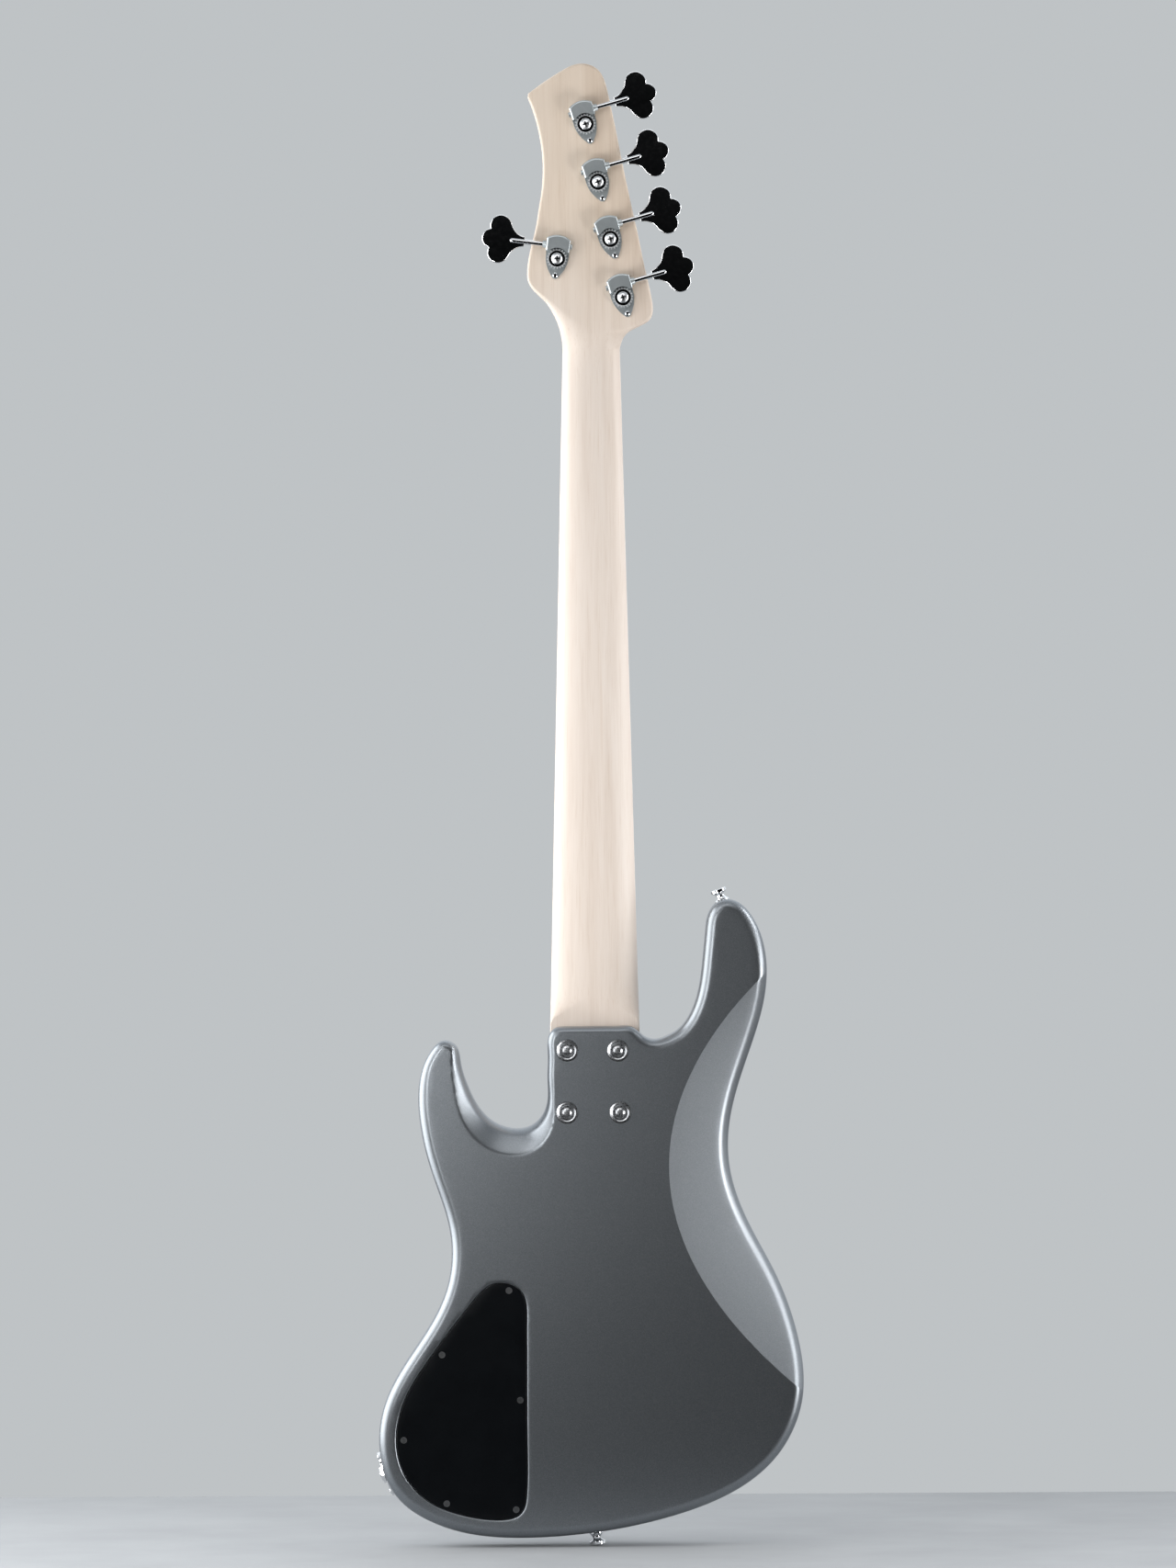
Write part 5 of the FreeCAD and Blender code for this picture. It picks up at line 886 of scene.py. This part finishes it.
def maple():
    m, nt, b = mat("maple", ior=1.46, specular=0.4)
    grain = coords(nt, (1.0, 0.6, 0.045))
    fine = coords(nt, (1.0, 1.0, 0.018))
    fig = noise(nt, grain, 95, 4.0, 0.55, 0.5)
    hair = noise(nt, fine, 1500, 3.0, 0.6)
    broad = noise(nt, coords(nt, (1.0, 0.4, 0.09), loc=(0.13, 0.0, 0.31)), 14, 3.0, 0.5, 0.3)
    c = ramp(nt, fig, [(0.28, (0.709, 0.610, 0.534)), (0.5, (0.765, 0.673, 0.600)), (0.75, (0.803, 0.718, 0.652))])
    c = mix(nt, "MULTIPLY", 0.8, c, ramp(nt, broad, [(0.30, (0.93, 0.895, 0.86)), (0.62, (1.0, 1.0, 1.0))]))
    c = mix(nt, "MULTIPLY", 0.55, c, ramp(nt, hair, [(0.28, (0.86, 0.80, 0.74)), (0.46, (1.0, 1.0, 1.0))]))
    streak = noise(nt, coords(nt, (1.0, 0.5, 0.02), loc=(0.4, 0.2, 0.0)), 60, 2.0, 0.4, 0.2)
    c = mix(nt, "MULTIPLY", 0.6, c, ramp(nt, streak, [(0.70, (1.0, 1.0, 1.0)), (0.735, (0.80, 0.69, 0.58)), (0.76, (1.0, 1.0, 1.0))]))
    # painted shade: by height, the maple is tinted warmer and a little darker towards the headstock, as the headstock
    # is less washed out by highlights than the neck
    tc = nt.nodes.new("ShaderNodeTexCoord")
    xyz = nt.nodes.new("ShaderNodeSeparateXYZ")
    nt.links.new(tc.outputs["Object"], xyz.inputs["Vector"])
    c = mix(nt, "MULTIPLY", 1.0, c, ramp(nt, span(nt, xyz.outputs["Z"], 0.0, 1.0, 0.92, 1.04),
                                         [(0.0, (1.0, 1.0, 1.0)), (1.0, (1.0, 0.955, 0.880))]))
    nt.links.new(c, b.inputs["Base Color"])
    nt.links.new(span(nt, hair, 0.38, 0.50), b.inputs["Roughness"])
    bump(nt, b, hair, 0.06, 0.0002)
    return m


def dark_wood():
    m, nt, b = mat("rosewood", ior=1.46, specular=0.35)
    fig = noise(nt, coords(nt, (1.0, 1.0, 0.05)), 130, 5.0, 0.6, 0.8)
    pore = noise(nt, coords(nt, (1.0, 1.0, 0.035)), 1300, 2.0, 0.5)
    c = ramp(nt, fig, [(0.25, (0.030, 0.014, 0.009)), (0.5, (0.075, 0.036, 0.022)), (0.8, (0.135, 0.068, 0.042))])
    c = mix(nt, "MULTIPLY", 0.9, c, ramp(nt, pore, [(0.36, (0.35, 0.3, 0.28)), (0.46, (1.0, 1.0, 1.0))]))
    nt.links.new(c, b.inputs["Base Color"])
    nt.links.new(span(nt, pore, 0.55, 0.38), b.inputs["Roughness"])
    bump(nt, b, pore, 0.25, 0.0003)
    return m


def metal(name, colour, rough_lo, rough_hi, scale=420, brushed=None, bump_by=0.015, dark=0.9):
    m, nt, b = mat(name, metallic=1.0)
    v = coords(nt, brushed or (1, 1, 1))
    f = noise(nt, v, scale, 3.0, 0.55)
    big = noise(nt, coords(nt), 60, 3.0, 0.6)
    lo = tuple(c * dark for c in colour)
    nt.links.new(ramp(nt, big, [(0.3, lo), (0.65, colour)]), b.inputs["Base Color"])
    nt.links.new(span(nt, f, rough_lo, rough_hi, 0.3, 0.7), b.inputs["Roughness"])
    bump(nt, b, f, bump_by, 0.0001)
    return m


def plastic(name, colour, light, rough_lo, rough_hi, scale=900, bump_by=0.08, coat=0.0, specular=0.5):
    m, nt, b = mat(name, coat=coat, specular=specular)
    v = coords(nt)
    f = noise(nt, v, scale, 2.0, 0.6)
    nt.links.new(ramp(nt, noise(nt, v, 45, 4.0, 0.6), [(0.3, colour), (0.7, light)]), b.inputs["Base Color"])
    nt.links.new(span(nt, f, rough_lo, rough_hi, 0.3, 0.7), b.inputs["Roughness"])
    bump(nt, b, f, bump_by, 0.0002)
    return m


def satin(name, metallic=0.80, dark=(0.515, 0.560, 0.575), light=(0.595, 0.640, 0.655)):
    """Bead-blasted plating: half mirror, half soft."""
    m, nt, b = mat(name, metallic=metallic)
    v = coords(nt)
    f = noise(nt, v, 1800, 3.0, 0.6)
    nt.links.new(ramp(nt, noise(nt, v, 80, 3.0, 0.6), [(0.3, dark), (0.7, light)]), b.inputs["Base Color"])
    nt.links.new(span(nt, f, 0.30, 0.44, 0.3, 0.7), b.inputs["Roughness"])
    bump(nt, b, f, 0.08, 0.0001)
    return m


def wound_wire():
    """Round-wound string: fine turns across the run, with painted shade in the grooves between them."""
    m, nt, b = mat("wound_wire", metallic=1.0)
    v = coords(nt)
    w = nt.nodes.new("ShaderNodeTexWave")
    w.wave_type, w.bands_direction, w.wave_profile = "BANDS", "Z", "SIN"
    w.inputs["Scale"].default_value = 620.0
    w.inputs["Distortion"].default_value = 0.0
    nt.links.new(v, w.inputs["Vector"])
    # the grooves between the turns are painted dark as shade and the crests light, beside the bump
    nt.links.new(ramp(nt, w.outputs["Fac"], [(0.0, (0.30, 0.285, 0.26)), (0.5, (0.66, 0.64, 0.60)), (1.0, (0.80, 0.78, 0.74))]),
                 b.inputs["Base Color"])
    nt.links.new(span(nt, noise(nt, v, 300, 2.0), 0.22, 0.36), b.inputs["Roughness"])
    bump(nt, b, w.outputs["Fac"], 0.5, 0.00025)
    return m


MATS = {
    "body_lacquer": lacquer(),
    "maple": maple(),
    "dark_board": dark_wood(),
    "nickel": metal("nickel_silver", (0.80, 0.78, 0.73), 0.12, 0.24, 500),
    "pearl": plastic("pearl", (0.72, 0.71, 0.67), (0.90, 0.90, 0.86), 0.18, 0.28, 700, 0.02, 0.3),
    "bone": plastic("bone", (0.80, 0.74, 0.60), (0.88, 0.83, 0.72), 0.28, 0.40, 700, 0.04),
    "steel": metal("plain_steel", (0.56, 0.56, 0.56), 0.26, 0.42, 600),
    "chrome": metal("chrome", (0.86, 0.87, 0.885), 0.05, 0.11, 300, None, 0.006, 0.96),
    "tuner_nickel": satin("satin_nickel"),
    "black_plastic": plastic("black_satin", (0.0026, 0.0031, 0.0038), (0.0036, 0.0043, 0.0052), 0.27, 0.33, 1400, 0.03, 0.0, 0.10),
    "black_steel": metal("blackened_steel", (0.26, 0.265, 0.27), 0.13, 0.22, 700),
    "battery_case": plastic("battery_case", (0.05, 0.05, 0.055), (0.09, 0.09, 0.095), 0.3, 0.45),
    "board_green": plastic("circuit_board", (0.02, 0.10, 0.05), (0.03, 0.16, 0.08), 0.35, 0.5),
    "pickup_black": plastic("pickup_black", (0.010, 0.010, 0.011), (0.018, 0.018, 0.020), 0.26, 0.38, 1100, 0.05),
    "string_wire": wound_wire(),
}


def dress(ob, slot):
    ob.data.materials.clear()
    ob.data.materials.append(MATS[slot])


slots = {s["node"]: s["material_slot"] for s in frame["record"]["subparts"]}
for name, ob in frame["nodes"].items():
    dress(ob, slots[name])
    ob.data.polygons.foreach_set("use_smooth", [True] * len(ob.data.polygons))
    ob.data.set_sharp_from_angle(angle=math.radians(28))


GEAR_RIM = 6.5
soft_chrome = metal("soft_chrome", (0.50, 0.51, 0.525), 0.24, 0.34, 700, None, 0.02, 0.95)
for name in ("neck_ferrules", "neck_screws"):
    ob = frame["nodes"][name]
    ob.data.materials.clear()
    ob.data.materials.append(soft_chrome)


screw_steel = metal("screw_steel", (0.19, 0.195, 0.20), 0.30, 0.40, 700, None, 0.02, 0.95)
frame["nodes"]["control_cover_screws"].data.materials.clear()
frame["nodes"]["control_cover_screws"].data.materials.append(screw_steel)
# a lighter copy of the tuner plating for the gear teeth: painted highlight
tooth_painted_highlight = satin("tooth_painted_highlight", 0.5, (0.74, 0.755, 0.765), (0.82, 0.83, 0.84))
bright_steel = metal("bright_steel", (0.86, 0.87, 0.885), 0.26, 0.36, 500, None, 0.01, 0.95)
# the gears' cut teeth are painted lighter than the plating as a highlight, and the domed heads in their middle get a
# rougher chrome that reads bright, round the blackened hub
for i, t in enumerate(TUNERS, start=1):
    me = frame["nodes"]["tuner_post_%d" % i].data
    me.materials.append(bright_steel)
    me.materials.append(tooth_painted_highlight)
    kinds = []
    for f in me.polygons:
        c = frame["nodes"]["tuner_post_%d" % i].matrix_world @ f.center
        out, y = math.hypot(c.x / MM - t[0], c.z / MM - t[1]), c.y / MM
        tooth = out > GEAR_RIM and y < HEAD_BACK
        dome = out < 4.8 and y < -0.8 and f.normal.y < -0.25 and not (f.normal.y < -0.97 and y > -2.2)
        kinds.append(2 if tooth else 1 if dome else 0)
    me.polygons.foreach_set("material_index", kinds)


def take(ob, node, slot, body):
    dress(ob, slot)
    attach(ob, body)
    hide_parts(node)


take(make_body(), "body", "body_lacquer", "root")
take(make_neck(), "neck", "maple", "root")
take(make_cover(), "control_cover", "black_plastic", "root")
for i, t in enumerate(TUNERS, start=1):
    take(make_key(i, t), "tuner_key_%d" % i, "chrome", "tuner_key_%d" % i)

# ------------------------------------------------------------------ stage, light, camera
fm, fnt, fbsdf = mat("pale_floor", specular=0.2)
fnt.links.new(ramp(fnt, noise(fnt, coords(fnt), 7, 5.0, 0.6), [(0.3, (0.312, 0.320, 0.329)), (0.7, (0.355, 0.363, 0.372))]), fbsdf.inputs["Base Color"])
fbsdf.inputs["Roughness"].default_value = 0.8


def slab(name, corners):
    """A flat stretch of floor; corners are (x, y, radius), counter-clockwise from the right rear, in millimetres."""
    b = Build()
    rim = []
    for (cx, cy, r), a0 in zip(corners, (0, 90, 180, 270)):
        sx, sy = (1, -1, -1, 1)[a0 // 90], (1, 1, -1, -1)[a0 // 90]
        for k in range(13 if r > 0 else 1):
            t = math.radians(a0 + 90.0 * k / 12)
            rim.append((cx - sx * r + r * math.cos(t), cy - sy * r + r * math.sin(t)))
    mx, my = np.mean(rim, axis=0)
    deck = []
    for s_, h_ in ((0.05, 0.0), (0.35, 0.0), (0.7, 0.0), (1.0, 0.0), (1.0, -6.0)):
        deck.append(b.add([(mx + (x_ - mx) * s_, my + (y_ - my) * s_, -2.3 + h_) for x_, y_ in rim]))
    for r0, r1 in zip(deck, deck[1:]):
        b.strip(r0, r1, True)
    b.f.append(tuple(deck[0]))
    ob = b.object(name)
    ob.data.materials.append(fm)
    return ob


FLOOR_SPLIT = -190.0
slab("floor", [(850, 500, 250), (-850, 500, 250), (-850, FLOOR_SPLIT, 0), (850, FLOOR_SPLIT, 0)])
apron = slab("floor_front", [(850, FLOOR_SPLIT, 0), (-850, FLOOR_SPLIT, 0), (-850, -850, 250), (850, -850, 250)])
apron.visible_glossy = False

world = bpy.data.worlds.new("studio")
scene.world = world
world.use_nodes = True
wn = world.node_tree
wn.nodes.clear()
wo = wn.nodes.new("ShaderNodeOutputWorld")
dim = wn.nodes.new("ShaderNodeBackground")
dim.inputs["Color"].default_value = (0.9, 0.95, 1.0, 1)
wt = wn.nodes.new("ShaderNodeTexCoord")
wx = wn.nodes.new("ShaderNodeSeparateXYZ")
wr = wn.nodes.new("ShaderNodeMapRange")
wr.inputs["From Min"].default_value = -0.75
wr.inputs["From Max"].default_value = 0.6
wr.inputs["To Min"].default_value = 0.006
wr.inputs["To Max"].default_value = 1.05
wn.links.new(wt.outputs["Generated"], wx.inputs["Vector"])
wn.links.new(wx.outputs["Y"], wr.inputs["Value"])
wz = wn.nodes.new("ShaderNodeMapRange")
wz.inputs["From Min"].default_value = -0.35
wz.inputs["From Max"].default_value = 0.55
wz.inputs["To Min"].default_value = 0.22
wz.inputs["To Max"].default_value = 1.25
wn.links.new(wx.outputs["Z"], wz.inputs["Value"])
wm = wn.nodes.new("ShaderNodeMath")
wm.operation = "MULTIPLY"
wn.links.new(wr.outputs["Result"], wm.inputs[0])
wn.links.new(wz.outputs["Result"], wm.inputs[1])
wn.links.new(wm.outputs["Value"], dim.inputs["Strength"])
pale = wn.nodes.new("ShaderNodeBackground")
pale.inputs["Color"].default_value = (0.52, 0.545, 0.56, 1)
pale.inputs["Strength"].default_value = 1.0
lp = wn.nodes.new("ShaderNodeLightPath")
ms = wn.nodes.new("ShaderNodeMixShader")
wn.links.new(lp.outputs["Is Camera Ray"], ms.inputs["Fac"])
wn.links.new(dim.outputs["Background"], ms.inputs[1])
wn.links.new(pale.outputs["Background"], ms.inputs[2])
wn.links.new(ms.outputs["Shader"], wo.inputs["Surface"])


def area(name, at, look, sx, sy, watts, colour=(1, 1, 1)):
    l = bpy.data.lights.new(name, "AREA")
    l.shape, l.size, l.size_y, l.energy, l.color = "RECTANGLE", sx, sy, watts, colour
    o = bpy.data.objects.new(name, l)
    o.location = at
    o.rotation_euler = (Vector(look) - Vector(at)).to_track_quat("-Z", "Y").to_euler()
    o.visible_camera = False
    scene.collection.objects.link(o)
    return o


area("left_panel", (-1.05, 0.0, 0.62), (0.0, 0.0, 0.58), 1.00, 1.40, 19.6, (0.985, 0.995, 1.0))
area("left_fore", (-1.05, -0.72, 0.60), (0.0, -0.20, 0.50), 0.42, 1.30, 4.2, (0.985, 0.995, 1.0))
area("front_left", (-0.40, -0.95, 0.47), (0.0, 0.0, 0.35), 0.24, 0.36, 2.8, (0.985, 0.995, 1.0))
area("front_high", (-0.64, -0.95, 1.30), (0.0, 0.0, 0.90), 0.36, 0.40, 2.0)
area("overhead", (0.0, -1.0, 1.85), (0.0, 0.0, 0.70), 1.20, 0.70, 4.0)
area("right_belly", (1.05, -0.65, 0.25), (0.0, 0.0, 0.37), 0.34, 0.66, 7.9)
area("right_mid", (1.05, -0.25, 0.66), (0.0, 0.0, 0.56), 0.34, 0.44, 2.1)
area("right_high", (1.05, 0.0, 1.15), (0.0, 0.0, 0.80), 0.34, 0.44, 4.0)
area("right_low", (1.05, 0.20, 0.22), (0.0, 0.0, 0.39), 0.50, 0.44, 0.3)

DIST = 7.0
cam = bpy.data.cameras.new("camera")
cam.sensor_fit = "AUTO"
cam.sensor_width = 36.0
cam.lens = 36.0 * (DIST - 0.012) / (1707 * 0.72 * MM)
cam.clip_start, cam.clip_end = 0.05, 50
co = bpy.data.objects.new("camera", cam)
co.location = (-0.00437, -DIST, 0.59548)
roll = math.radians(0.311)
upv = Vector((math.sin(roll), 0, math.cos(roll)))
fwd = Vector((0, 1, 0))
rgt = fwd.cross(upv)
co.rotation_euler = Matrix((rgt, upv, -fwd)).transposed().to_euler()
scene.collection.objects.link(co)
scene.camera = co
scene.view_settings.view_transform = "Standard"
